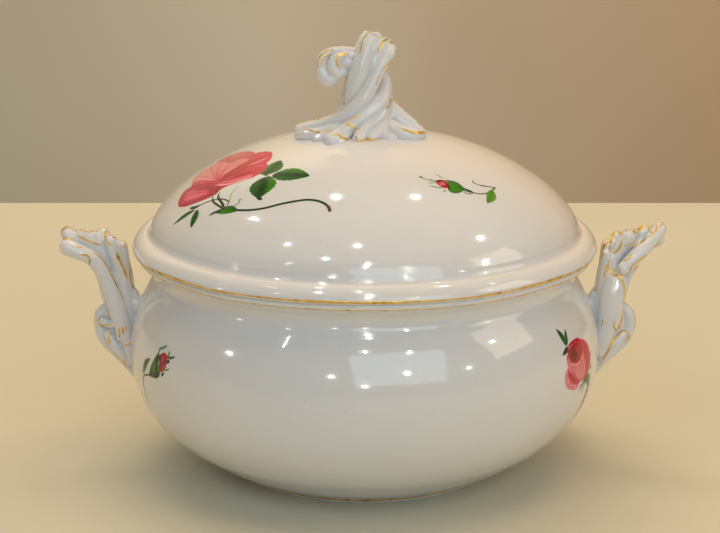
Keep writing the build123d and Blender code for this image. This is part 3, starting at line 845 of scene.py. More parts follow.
# The front of the right handle.
HANDLE_GOLD_FRONT = [
    (0.9, [(149.6, -1, 128.2), (147.0, -1, 126.6), (143.6, -1, 125.0)]),
    (0.85, [(133.2, -3, 124.0), (131.5, -3, 120.7), (131.0, -3, 117.8), (130.6, -3, 114.6)]),
    (0.8, [(155.4, -5, 127.4), (151.7, -5, 124.2), (147.8, -5, 121.3), (144.6, -5, 119.2),
           (141.6, -5, 117.2)]),
    (0.6, [(145.0, -4, 122.6), (141.4, -4, 120.2), (138.4, -4, 118.6)]),
    (0.8, [(141.8, -7, 115.2), (140.3, -7, 112.6), (136.6, -7, 111.3)]),
    (0.8, [(136.8, -4, 121.8), (136.4, -4, 119.0), (134.4, -4, 116.0), (132.0, -4, 114.9)]),
    (1.0, [(130.0, -8, 112.6), (130.1, -8, 107.4), (132.0, -8, 104.2), (135.2, -8, 102.6),
           (137.6, -8, 100.3), (138.7, -8, 97.0), (139.1, -8, 90.3), (138.6, -8, 84.0), (138.1, -8, 78.4),
           (137.2, -8, 75.0), (135.2, -8, 73.0), (133.7, -8, 74.6), (133.1, -8, 78.6)]),
    (1.6, [(131.8, -8, 106.9), (133.0, -8, 105.6)]),
    (0.9, [(133.3, -8, 104.4), (135.6, -8, 103.6), (138.9, -8, 104.4)]),
    (0.9, [(150.9, -3, 114.2), (146.2, -3, 110.9), (142.7, -3, 108.2), (140.6, -3, 103.9)]),
    (0.8, [(157.8, -3, 121.6), (156.0, -3, 119.6), (153.6, -3, 117.8)]),
    (0.8, [(145.5, -3, 108.2), (145.3, -3, 105.4)]),
    (0.8, [(129.1, -6, 109.2), (128.7, -6, 105.6), (127.8, -6, 102.0)]),
    (0.7, [(122.9, -5, 94.4), (124.6, -5, 95.2)]),
    (0.85, [(154.0, 2, 128.6), (151.1, 2, 129.9), (148.9, 2, 129.9), (146.3, 2, 128.0), (142.3, 2, 126.2)]),
    (0.95, [(139.8, 2, 125.4), (137.0, 2, 126.2), (134.3, 2, 126.3), (131.9, 2, 124.6), (131.2, 2, 122.4)]),
    (0.7, [(130.0, 2, 120.0), (128.6, 2, 117.6), (127.6, 2, 116.4), (127.2, 2, 111.0)]),
    (0.7, [(159.6, 0, 130.0), (156.6, 0, 128.4)]),
    (0.95, [(140.9, -7, 66.3), (142.7, -7, 68.8), (141.7, -7, 71.3), (139.4, -7, 72.7), (136.4, -7, 70.2),
            (133.8, -7, 67.0), (132.0, -7, 62.5), (130.0, -7, 59.0), (127.8, -7, 54.6)]),
    (0.8, [(144.6, -2, 83.0), (146.0, -2, 79.6), (146.4, -2, 75.8), (146.1, -2, 72.0)]),
    (0.6, [(127.4, -8, 79.4), (126.9, -8, 75.2)]),
]
# The back of the right handle, which is the front of the left one.
HANDLE_GOLD_BACK = [
    (0.95, [(152.4, 2, 124.2), (148.6, 2, 122.1), (145.6, 2, 120.4), (140.4, 2, 118.9)]),
    (0.8, [(160.9, -2, 125.2), (158.4, -2, 127.2), (156.2, -2, 127.6), (150.5, -2, 125.8),
           (147.4, -2, 124.8)]),
    (0.9, [(145.6, -2, 125.2), (144.0, -2, 126.4), (141.1, -2, 127.8), (138.6, -2, 127.6),
           (136.4, -2, 125.0), (135.5, -2, 123.2)]),
    (0.85, [(134.4, -2, 122.3), (131.9, -2, 121.2), (129.8, -2, 121.0), (128.0, -2, 120.0),
            (126.4, -2, 117.8), (125.4, -2, 114.6)]),
    (1.0, [(124.2, 0, 111.4), (125.2, 0, 107.4), (125.6, 0, 102.0), (124.8, 0, 96.6), (122.6, 0, 92.2)]),
    (1.0, [(138.4, 0, 126.2), (138.1, 0, 122.7), (136.6, 0, 119.9), (134.8, 0, 117.8)]),
    (1.2, [(132.5, 6, 116.0), (129.7, 6, 109.1), (127.0, 6, 101.8)]),
    (1.0, [(144.4, 8, 117.0), (139.9, 8, 112.8), (136.5, 8, 107.8), (133.6, 8, 101.3), (131.4, 8, 96.4),
           (129.2, 8, 91.4)]),
    (0.8, [(150.6, 5, 114.4), (147.3, 5, 114.0), (145.5, 5, 111.6), (146.3, 5, 108.6)]),
    (0.9, [(160.2, 5, 123.6), (157.0, 5, 122.8), (153.5, 5, 122.0)]),
    (0.8, [(152.6, 6, 119.0), (149.5, 6, 118.4)]),
    (1.0, [(128.6, 3, 119.2), (128.2, 3, 117.4)]),
    (0.9, [(141.7, 5, 80.0), (143.2, 5, 77.3), (142.0, 5, 74.9), (139.9, 5, 75.2), (136.1, 5, 75.9)]),
    (0.8, [(138.2, 8, 82.2), (137.6, 8, 80.6)]),
    (0.9, [(131.6, 8, 74.6), (131.4, 8, 71.8), (131.7, 8, 69.4)]),
    (0.8, [(129.5, 8, 75.4), (129.3, 8, 73.2), (129.5, 8, 70.8)]),
    (0.7, [(128.1, 8, 75.6), (127.8, 8, 73.0)]),
    (0.9, [(137.0, 5, 71.6), (137.1, 5, 67.3), (138.0, 5, 64.6)]),
    (0.7, [(129.3, 9, 64.7), (126.7, 9, 66.0), (124.6, 9, 66.3)]),
    (0.8, [(137.6, 3, 63.3), (134.2, 3, 57.6), (129.4, 3, 51.1)]),
    (0.7, [(131.7, 6, 56.4), (130.3, 6, 55.7), (128.4, 6, 52.5)]),
]
# The scalloped edges of the fan, where the nearest point of the surface is taken.
HANDLE_GOLD_EDGES = [
    (0.95, [(161.4, 5.4, 127), (159.6, 4.8, 130), (157.2, 5.0, 129.6), (154.6, 5.6, 128)]),
    (0.95, [(154.0, 5.6, 128.6), (151.4, 6.0, 130), (148.4, 5.0, 129), (146.4, 4.0, 127.6),
            (144.4, 2.4, 127.6)]),
    (0.95, [(143.8, -0.6, 127), (141.6, -2.0, 129), (139.0, -2.0, 128), (137.2, -1.0, 126)]),
    (0.95, [(138.0, 3.4, 124), (135.8, 4.4, 126.6), (133.2, 4.2, 125), (131.8, 3.4, 122.6)]),
    (0.95, [(131.6, 1.8, 121), (129.6, 1.4, 122.6), (127.4, 1.2, 119.6), (126.4, 1.0, 116),
            (126.0, 0.4, 112), (125.8, 0.2, 108), (125.2, 0.2, 103), (123.8, 0.6, 97.5)]),
]
right_gold = Brush(right_handle).gild("right_handle_gold", HANDLE_GOLD_FRONT, HANDLE_GOLD_BACK,
                                      HANDLE_GOLD_EDGES)
left_gold = turned_copy(right_gold, "left_handle_gold")
dress(right_gold, GOLD, "gilding", "bowl")
dress(left_gold, GOLD, "gilding", "bowl")


# ---- painted sprays ----------------------------------------------------------------------
# Each spray is painted on its own sheet in millimetres (along, up) and then laid on the glaze.
# Colours are given as they look (sRGB) and turned into linear light when the sheet is laid.
BLUSH = (1.0, 0.82, 0.77)
PALE_PINK = (0.95, 0.56, 0.60)
ROSE_PINK = (0.87, 0.17, 0.37)
ROSE_RED = (0.78, 0.0, 0.18)
CRIMSON = (0.62, 0.0, 0.10)
WINE = (0.32, 0.0, 0.04)
LEAF_DARK = (0.08, 0.26, 0.05)
LEAF_GREEN = (0.29, 0.57, 0.11)
LEAF_LIGHT = (0.47, 0.60, 0.27)
STEM_GREEN = (0.13, 0.22, 0.08)
BROWN = (0.38, 0.24, 0.14)


class Sheet:
    """A flat sheet of points (mm) with a colour and a cover at each, painted a stroke at a time."""

    def __init__(self, low, high, grain):
        self.along = np.arange(low[0], high[0] + grain, grain)
        self.up = np.arange(low[1], high[1] + grain, grain)
        self.u, self.v = np.meshgrid(self.along, self.up)
        self.colour = np.ones(self.u.shape + (3,))
        self.cover = np.zeros(self.u.shape)

    def lay(self, colour, cover):
        """Lays a colour over what is there already."""
        cover = np.clip(cover, 0, 1)
        total = cover + self.cover * (1 - cover)
        share = np.where(total > 1e-6, cover / np.maximum(total, 1e-6), 0)[..., None]
        self.colour = self.colour * (1 - share) + np.asarray(colour) * share
        self.cover = total

    def apart(self, line):
        """Distance from every point of the sheet to a polyline, and the share along it."""
        best = np.full(self.u.shape, 1e9)
        share = np.zeros(self.u.shape)
        for k, (a, b) in enumerate(zip(line[:-1], line[1:])):
            step = b - a
            t = ((self.u - a[0]) * step[0] + (self.v - a[1]) * step[1]) / max(step @ step, 1e-9)
            t = np.clip(t, 0, 1)
            gap = np.hypot(self.u - a[0] - t * step[0], self.v - a[1] - t * step[1])
            near = gap < best
            best[near] = gap[near]
            share[near] = (k + t[near]) / (len(line) - 1)
        return best, share

    def depth_inside(self, outline):
        """How far inside a closed outline every point is (negative outside)."""
        gap, _ = self.apart(outline)
        inside = np.zeros(self.u.shape, bool)
        for a, b in zip(outline[:-1], outline[1:]):
            if a[1] == b[1]:
                continue
            crosses = (self.v < a[1]) != (self.v < b[1])
            inside ^= crosses & (self.u < a[0] + (self.v - a[1]) / (b[1] - a[1]) * (b[0] - a[0]))
        return np.where(inside, gap, -gap)

    def closed(self, points):
        """A smooth closed outline through the points."""
        ring = np.array(points + points[:3], float)
        fine = through(ring, 16 * len(ring))
        start = np.argmin(np.linalg.norm(fine[:32] - ring[1], axis=1))
        stop = len(fine) - 32 + np.argmin(np.linalg.norm(fine[-32:] - ring[1], axis=1))
        loop = fine[start:stop:3]
        return np.vstack([loop, loop[:1]])

    def petal(self, outline, root, pale, deep, depth, streaks, rim):
        """A petal: deep at its root and in fine streaks that fan from it, pale towards its edge."""
        inside = self.depth_inside(self.closed(outline))
        du, dv = self.u - root[0], self.v - root[1]
        far = np.hypot(du, dv)
        reach = max(math.hypot(p[0] - root[0], p[1] - root[1]) for p in outline)
        turn = np.arctan2(dv, du)
        phase = noise.uniform(0, 6.28, 4)
        fan = (np.sin(turn * streaks + phase[0]) + 0.8 * np.sin(turn * streaks * 2.3 + phase[1] + far * 0.1)
               + 0.6 * np.sin(turn * streaks * 4.1 + phase[2])) / 2.4
        fade = 1.15 - far / reach
        tone = depth * np.exp(-far / (0.42 * reach)) + 0.5 * depth * np.clip(fan, -0.4, 1) * fade
        tone += rim * np.exp(-np.clip(inside, 0, 9) / 0.55)
        tone = np.clip(tone, 0, 1)[..., None]
        mixed = np.asarray(pale) * (1 - tone) + np.asarray(deep) * tone
        self.lay(mixed, smoothstep(-0.15, 0.3, inside))

    def stroke(self, points, width, colour, cover=1.0, start=0.4, end=0.2):
        """A brush stroke that swells between its start and end widths (shares of the width)."""
        line = through(points, 14 * len(points))
        gap, share = self.apart(line)
        swell = np.minimum(start + share * 4, 1) * np.minimum(end + (1 - share) * 3, 1)
        half = width / 2 * swell
        self.lay(colour, cover * (1 - smoothstep(half - 0.12, half + 0.18, gap)))

    def leaf(self, base, tip, width, bend=0.0, dark=LEAF_DARK, light=LEAF_GREEN, veins=5, teeth=0.16):
        """A leaf with a toothed edge, one half lighter than the other, and its veins."""
        base, tip = np.array(base, float), np.array(tip, float)
        way = tip - base
        length = np.linalg.norm(way)
        way /= length
        side = np.array([-way[1], way[0]])
        t = np.linspace(0, 1, 40)
        middle = base + np.outer(t * length, way) + np.outer(np.sin(math.pi * t) * bend, side)
        half = width / 2 * np.sin(math.pi * t ** 0.85) ** 0.8
        edge = half * (1 + teeth * 0.5 * (np.abs(np.sin(t * math.pi * 6)) - 0.5))
        outline = np.vstack([middle + side * edge[:, None], (middle - side * edge[:, None])[::-1]])
        outline = np.vstack([outline, outline[:1]])
        inside = self.depth_inside(outline)
        gap, share = self.apart(middle)
        off = (self.u - base[0]) * side[0] + (self.v - base[1]) * side[1] - np.sin(math.pi * share) * bend
        lit = 0.3 + smoothstep(-0.3, 0.5, off) * 0.4 + 0.3 * np.sin(share * 19 + off * 1.7) ** 2
        tone = np.clip(lit * smoothstep(0.0, width * 0.3, np.abs(off)), 0, 1)[..., None]
        mixed = np.asarray(dark) * (1 - tone) + np.asarray(light) * tone
        self.lay(mixed, smoothstep(-0.12, 0.2, inside))
        for k in range(veins):
            t0 = 0.12 + 0.68 * k / max(veins - 1, 1)
            root = base + way * t0 * length + side * math.sin(math.pi * t0) * bend
            spread = width * 0.42 * math.sin(math.pi * min(t0 + 0.12, 1))
            for hand in (-1, 1):
                end = root + way * length * 0.15 + side * hand * spread
                self.stroke([root, (root + end) / 2 + way * 0.2, end], 0.28, dark, 0.75)
        self.stroke(list(middle[2:-1:9]) + [middle[-2]], 0.4, dark, 0.9, 1.0, 0.3)


def rose_sheet():
    """The large pink rose of the lid, seen from the side, with its leaves and long stem."""
    sheet = Sheet((-47, -35), (70, 34), 0.33)
    sheet.leaf((17.5, 14.6), (10.6, 28.4), 11.0, -0.8)
    sheet.leaf((21.5, 17.2), (38.4, 28.8), 11.6, 0.8)
    sheet.leaf((19.6, 14.2), (32.4, 1.6), 14.4, 0.4)
    sheet.stroke([(30.6, 3.0), (32.4, 1.8), (34.6, 2.2)], 2.2, LEAF_DARK, 1.0, 1.0, 0.4)
    sheet.stroke([(9.5, 13.0), (15, 14.8), (22, 15.6), (26, 16.4)], 0.8, STEM_GREEN)
    # petals, from the back to the front, over a first wash
    sheet.petal([(-18, -18), (-26, -11), (-36, -3), (-41, 8), (-38, 17), (-28, 23), (-15, 26), (-4, 28),
                 (5, 20), (10.6, 12), (11, 7), (4, -3), (2.6, -9), (-1.6, -14.6), (-10, -19)], (2, -6),
                (0.88, 0.29, 0.43), ROSE_RED, 0.8, 14, 0.2)
    sheet.petal([(-18, 12), (-30, 10.6), (-40, 12), (-43.4, 17.6), (-37, 24), (-26, 27.4), (-15.6, 26.6),
                 (-11, 20)], (-6, 6), (0.88, 0.44, 0.46), (0.72, 0.10, 0.22), 0.8, 12, 0.4)
    sheet.petal([(-14, 12), (-16.6, 22), (-14.4, 28), (-9.4, 31), (-3.6, 31.2), (-1.6, 24), (-3, 14)],
                (-5, 4), (0.86, 0.24, 0.35), ROSE_RED, 0.9, 11, 0.35)
    sheet.petal([(-3, 6), (-2, 18), (-4, 30.6), (1.6, 28.4), (6, 23.4), (6, 16), (2, 8)], (-3, 1),
                (0.87, 0.22, 0.36), ROSE_RED, 1.0, 12, 0.35)
    sheet.petal([(-1, 4), (2, 11), (4.4, 22), (9.4, 21.6), (13.6, 15.4), (12.6, 8.8), (7, 3.4), (2, 0)],
                (-3, 1), (0.87, 0.20, 0.34), ROSE_RED, 1.0, 12, 0.35)
    sheet.petal([(-13, -1), (-24, -3.5), (-35, -5.6), (-43.6, 1.6), (-45, 8), (-39, 12.8), (-27, 13.6),
                 (-17, 14), (-11, 8)], (-7, -1), (0.96, 0.66, 0.64), ROSE_PINK, 0.85, 12, 0.3)
    sheet.petal([(-10, 0), (-15, 5), (-20, 12), (-19, 18), (-14, 21), (-9.5, 20), (-7, 12), (-6, 3)],
                (-6, -4), (0.95, 0.60, 0.60), ROSE_RED, 0.8, 9, 0.25)
    sheet.petal([(-7, -1), (-9.6, 7), (-9.4, 16), (-7, 23.6), (-3.4, 24.6), (-1.2, 17), (-1.4, 9),
                 (-3.6, 2)], (-5, -5), (0.82, 0.10, 0.24), CRIMSON, 1.0, 8, 0.2)
    sheet.petal([(-6, -2), (-17, -5), (-26, -7.4), (-30.6, -11.6), (-26, -18.4), (-18.6, -22.8),
                 (-11.5, -22.2), (-5, -18.6), (0.8, -13.4), (4, -8), (1.4, -3.6)], (0, -5),
                (0.82, 0.19, 0.36), (0.64, 0.0, 0.16), 0.95, 12, 0.7)
    sheet.petal([(-23, -12), (-21, -17.6), (-14.6, -18.6), (-8, -15), (-2, -9.4), (-7, -8.2), (-15, -10)],
                (-1, -8), (0.89, 0.38, 0.48), ROSE_PINK, 0.9, 9, 0.4)
    sheet.petal([(-7, -3.8), (-1, -3.4), (5, 0), (9.6, 4.4), (12.6, 10), (10, 12), (6, 7.6), (1.4, 3),
                 (-3, 0)], (-8, -4), (0.93, 0.46, 0.53), ROSE_PINK, 0.7, 8, 0.15)
    # the deep folds between the petals
    sheet.stroke([(-7.4, -1.4), (-4.4, 3.6), (-3.2, 8), (-1.8, 12.6), (-2.2, 18), (-2, 23), (-2.8, 27)],
                 2.4, ROSE_RED, 0.9)
    sheet.stroke([(-6.4, -1), (-3.6, 5), (-2, 11), (-2, 17)], 1.3, CRIMSON, 0.75)
    sheet.stroke([(0.2, 5), (4, 9.2), (7.4, 13), (9.2, 16.6)], 1.7, CRIMSON, 0.75)
    sheet.stroke([(-8.8, 15.6), (-6.8, 21.4), (-5.2, 25), (-4, 29)], 1.4, ROSE_RED, 0.75)
    sheet.stroke([(-12.6, 21), (-12.6, 26), (-8.6, 28.8), (-4.4, 30.2)], 1.6, ROSE_PINK, 0.7)
    sheet.stroke([(-28.6, 13.6), (-24.6, 15.8), (-21.6, 19), (-18, 21.6)], 1.5, (0.62, 0.22, 0.22), 0.6)
    sheet.stroke([(-34, 16.4), (-28, 18.6), (-24, 22.4)], 0.9, ROSE_PINK, 0.6)
    sheet.stroke([(-24.6, -9.8), (-19, -7.2), (-12.4, -5.2), (-5.6, -2.8)], 2.2, ROSE_RED, 0.85)
    sheet.stroke([(-17, -11), (-11, -7.8), (-5.6, -5.2)], 1.5, CRIMSON, 0.6)
    sheet.stroke([(-18.4, -21.4), (-11.5, -20.6), (-6, -18), (-1.8, -14.8), (1.8, -10.8), (2.6, -6.6)], 1.5,
                 (0.70, 0.02, 0.15), 0.7)
    sheet.stroke([(-18.6, -21), (-23.4, -17), (-26.6, -12.8), (-25.2, -9.8)], 1.1, (0.74, 0.06, 0.20), 0.7)
    # the light edges that catch the eye
    sheet.stroke([(-11.6, 5.2), (-10.6, 9.2), (-10.2, 14)], 1.0, BLUSH, 0.9)
    sheet.stroke([(-2.6, 16.4), (-0.6, 22), (0.2, 26.4)], 1.5, BLUSH, 0.75)
    sheet.stroke([(3, 16.4), (5.6, 19.2), (7, 21)], 1.0, PALE_PINK, 0.7)
    sheet.stroke([(-17, -17.4), (-12.8, -14.8), (-8.2, -12.4), (-4, -9.8)], 1.1, (0.95, 0.62, 0.64), 0.7)
    sheet.stroke([(-4.6, -3.2), (1.2, -1.2), (6.6, 2.4), (10.4, 7.4), (11.6, 10.4)], 0.9, BLUSH, 0.8)
    sheet.stroke([(-36, -3.4), (-27, -2.2), (-18, -1.4), (-10, -0.4)], 1.1, BLUSH, 0.6)
    # calyx, sepals and the long stem
    sheet.stroke([(22.4, -12.4), (28.7, -10.2), (36.1, -5.9), (41.6, -0.6), (45.6, 5.5), (49.6, 11.3),
                  (53.9, 16.8), (58.7, 20.0), (63.4, 20.8), (66.5, 19.7)], 1.5, STEM_GREEN, 1.0, 1.0, 0.8)
    sheet.stroke([(63.6, 20.9), (65.4, 20.4), (66.8, 19.5)], 1.8, BROWN, 0.9, 0.6, 1.0)
    sheet.petal([(17.4, -17.4), (19, -13.4), (23, -9.4), (28.5, -9.6), (29.6, -10.6), (26, -14.4),
                 (21, -17)], (30, -9), LEAF_GREEN, LEAF_DARK, 0.8, 6, 0.5)
    sheet.stroke([(24, -9.6), (25.2, -6.6), (23.2, -4.6), (25.6, -3.8)], 1.1, LEAF_LIGHT, 0.8)
    sheet.stroke([(20, -15), (17.6, -17.2), (15.6, -20.4)], 1.7, STEM_GREEN)
    sheet.stroke([(20.4, -12.6), (14, -10.8), (8.5, -9.4), (4.6, -6.4)], 1.5, STEM_GREEN)
    sheet.stroke([(20.4, -13.4), (13, -13.2), (8.0, -12.6), (3.0, -10.0)], 1.3, STEM_GREEN)
    sheet.stroke([(20.2, -11.4), (18.6, -8.8), (12, -9.2), (6.3, -12.6), (1.4, -17.6), (-3.6, -20.8)], 0.9,
                 STEM_GREEN)
    sheet.stroke([(20.6, -10.6), (17.4, -7.0), (14.1, -4.2), (13.2, -0.4), (13.4, 2.6)], 0.7, LEAF_LIGHT,
                 0.8)
    sheet.stroke([(-4.4, -21.4), (-1.0, -20.2), (1.8, -17.8)], 2.2, LEAF_DARK)
    sheet.leaf((1.4, -21.0), (-7.4, -33.2), 3.6, -0.6, veins=3)
    sheet.leaf((2.8, -20.6), (10.4, -30.4), 5.0, 0.4, veins=4)
    return sheet


def bud_sheet():
    """The small bud on the right of the lid."""
    sheet = Sheet((-15, -19), (29, 12), 0.25)
    sheet.stroke([(3.8, -5.6), (7.6, -8.0), (12.6, -9.8), (16.7, -9.7), (21.3, -8.0), (25.6, -5.6)], 0.75,
                 STEM_GREEN, 1.0, 1.0, 0.8)
    sheet.stroke([(4.2, -3.8), (6.6, -6.0), (9.4, -8.6)], 1.5, LEAF_DARK)
    sheet.stroke([(3.6, -6.8), (5.0, -8.6), (8.2, -9.2)], 1.2, LEAF_LIGHT, 0.9)
    sheet.stroke([(25.6, -5.6), (20.2, -4.4), (16.5, -3.0), (14.3, -1.2), (15.1, 0.8)], 0.75, STEM_GREEN,
                 1.0, 0.9, 0.6)
    sheet.stroke([(20.6, -4.6), (17.6, -3.5)], 1.1, LEAF_DARK)
    sheet.leaf((22.4, -7.2), (12.2, -16.8), 5.2, 0.8, LEAF_GREEN, LEAF_LIGHT, 4)
    sheet.petal([(-0.4, 2.2), (3.2, 1.2), (5.6, -2.0), (5.4, -5.0), (1.0, -7.4), (-2.8, -7.0), (-4.2, -5.0),
                 (-3.0, -1.4)], (6, -6), LEAF_GREEN, LEAF_DARK, 0.6, 7, 0.3)
    sheet.petal([(-6.6, 4.2), (-3.4, 4.6), (-0.6, 3.2), (-0.8, 0.2), (-2.0, -2.4), (-5.4, -2.4),
                 (-7.0, 0.6)], (-1, -2), (0.90, 0.42, 0.46), CRIMSON, 0.9, 6, 0.2)
    sheet.stroke([(-6.0, 3.2), (-4.2, 3.8), (-2.0, 3.2)], 1.4, WINE, 0.9)
    sheet.stroke([(-5.6, -0.6), (-3.6, -1.4), (-2.2, -2.4)], 0.9, CRIMSON, 0.9)
    sheet.stroke([(-5.2, 1.0), (-3.6, 0.9), (-1.6, 0.6)], 0.8, (0.96, 0.66, 0.66), 0.8)
    sheet.stroke([(-0.9, 3.4), (1.8, 2.2), (4.2, 0.0), (5.4, -3.4)], 1.2, LEAF_DARK, 0.9)
    sheet.stroke([(-2.4, 2.2), (-2.0, -1.4), (-3.4, -4.4)], 1.0, LEAF_DARK, 0.85)
    sheet.stroke([(-11.6, 9.6), (-10.3, 6.9), (-7.8, 5.5), (-6.2, 4.0)], 0.6, STEM_GREEN, 0.9, 1.0, 0.6)
    sheet.stroke([(-11.9, 9.9), (-11.5, 9.2)], 1.3, STEM_GREEN, 0.9, 1.0, 1.0)
    sheet.stroke([(-2.3, 9.6), (-1.6, 7.6), (-1.2, 4.4)], 0.55, STEM_GREEN, 0.8)
    sheet.stroke([(-12.0, 1.4), (-9.4, 0.0), (-7.6, -1.4), (-5.8, -1.8)], 0.9, LEAF_GREEN, 0.9)
    sheet.stroke([(-11.0, 3.6), (-8.8, 3.4), (-6.8, 2.4)], 0.9, LEAF_LIGHT, 0.85)
    sheet.stroke([(-9.2, 6.0), (-7.6, 4.8), (-6.4, 3.4)], 0.9, LEAF_LIGHT, 0.85)
    sheet.stroke([(-7.4, -4.0), (-6.4, -4.4), (-5.6, -3.6)], 1.1, (0.72, 0.38, 0.36), 0.8)
    return sheet


def crimson_bud_sheet():
    """The dark red bud on the left of the bowl."""
    sheet = Sheet((-21, -25), (20, 17), 0.25)
    sheet.stroke([(-15.6, -21.4), (-16.4, -15.5), (-16.0, -10.0), (-13.8, -6.8), (-9.6, -5.2),
                  (-4.4, -3.6)], 1.0, STEM_GREEN, 0.95, 0.6, 1.0)
    sheet.leaf((-14.6, -6.0), (-5.6, 4.6), 4.2, 1.6, LEAF_DARK, LEAF_GREEN, 3)
    sheet.stroke([(-17.8, -5.6), (-15.6, -3.6)], 0.7, BROWN, 0.8)
    sheet.petal([(-6.0, -4.2), (-4.6, 0.4), (-1.4, 5.4), (2.0, 9.4), (4.6, 8.6), (4.2, 4.6), (7.2, 1.0),
                 (4.4, -2.4), (-1, -4.4)], (-4, -4), LEAF_GREEN, LEAF_DARK, 0.95, 7, 0.5)
    sheet.petal([(3.4, 7.6), (5.8, 10.4), (9.2, 11.4), (11.8, 10.2), (12.2, 7.0), (11.2, 3.6), (7.6, 1.0),
                 (5.2, 2.6), (5.2, 5.4)], (5, 2), (0.78, 0.10, 0.22), CRIMSON, 0.9, 7, 0.2)
    sheet.stroke([(5.0, 9.0), (5.4, 5.6), (6.0, 2.2)], 2.0, WINE, 0.85)
    sheet.stroke([(7.6, 8.8), (9.6, 6.8), (8.4, 4.6)], 1.0, WINE, 0.8)
    sheet.stroke([(6.4, 6.4), (7.6, 7.8), (9.2, 9.6)], 0.6, (0.92, 0.50, 0.56), 0.8)
    sheet.stroke([(8.0, 2.6), (9.2, 4.0), (10.8, 5.8)], 0.6, (0.92, 0.50, 0.56), 0.7)
    sheet.stroke([(3.4, 8.4), (1.6, 4.6), (2.4, 1.2), (1.0, -2.0)], 2.4, (0.04, 0.10, 0.04), 0.85)
    sheet.stroke([(2.6, 8.2), (3.0, 11.0), (4.0, 13.2)], 1.2, LEAF_DARK, 0.9)
    sheet.stroke([(4.0, 12.2), (6.4, 13.4), (9.4, 15.2)], 1.5, LEAF_GREEN, 0.9)
    sheet.stroke([(12.0, 9.8), (12.6, 11.4), (12.4, 13.4)], 1.6, LEAF_GREEN, 0.9)
    sheet.stroke([(12.2, 9.6), (15.0, 10.2), (18.0, 11.6)], 1.4, LEAF_DARK, 0.9)
    sheet.stroke([(12.2, 7.4), (13.4, 8.0)], 1.8, LEAF_DARK, 1.0, 1.0, 1.0)
    sheet.stroke([(8.6, -0.4), (9.6, 0.8)], 1.6, LEAF_DARK, 1.0, 1.0, 1.0)
    sheet.stroke([(9.6, 2.6), (12.6, 3.4), (15.0, 4.6)], 1.0, LEAF_GREEN, 0.9)
    sheet.stroke([(-5.4, -3.8), (-2.6, -2.6)], 2.2, (0.05, 0.12, 0.05), 0.9, 1.0, 1.0)
    sheet.stroke([(1.0, -3.0), (4.6, -1.2)], 2.6, (0.05, 0.12, 0.05), 0.9, 1.0, 1.0)
    return sheet


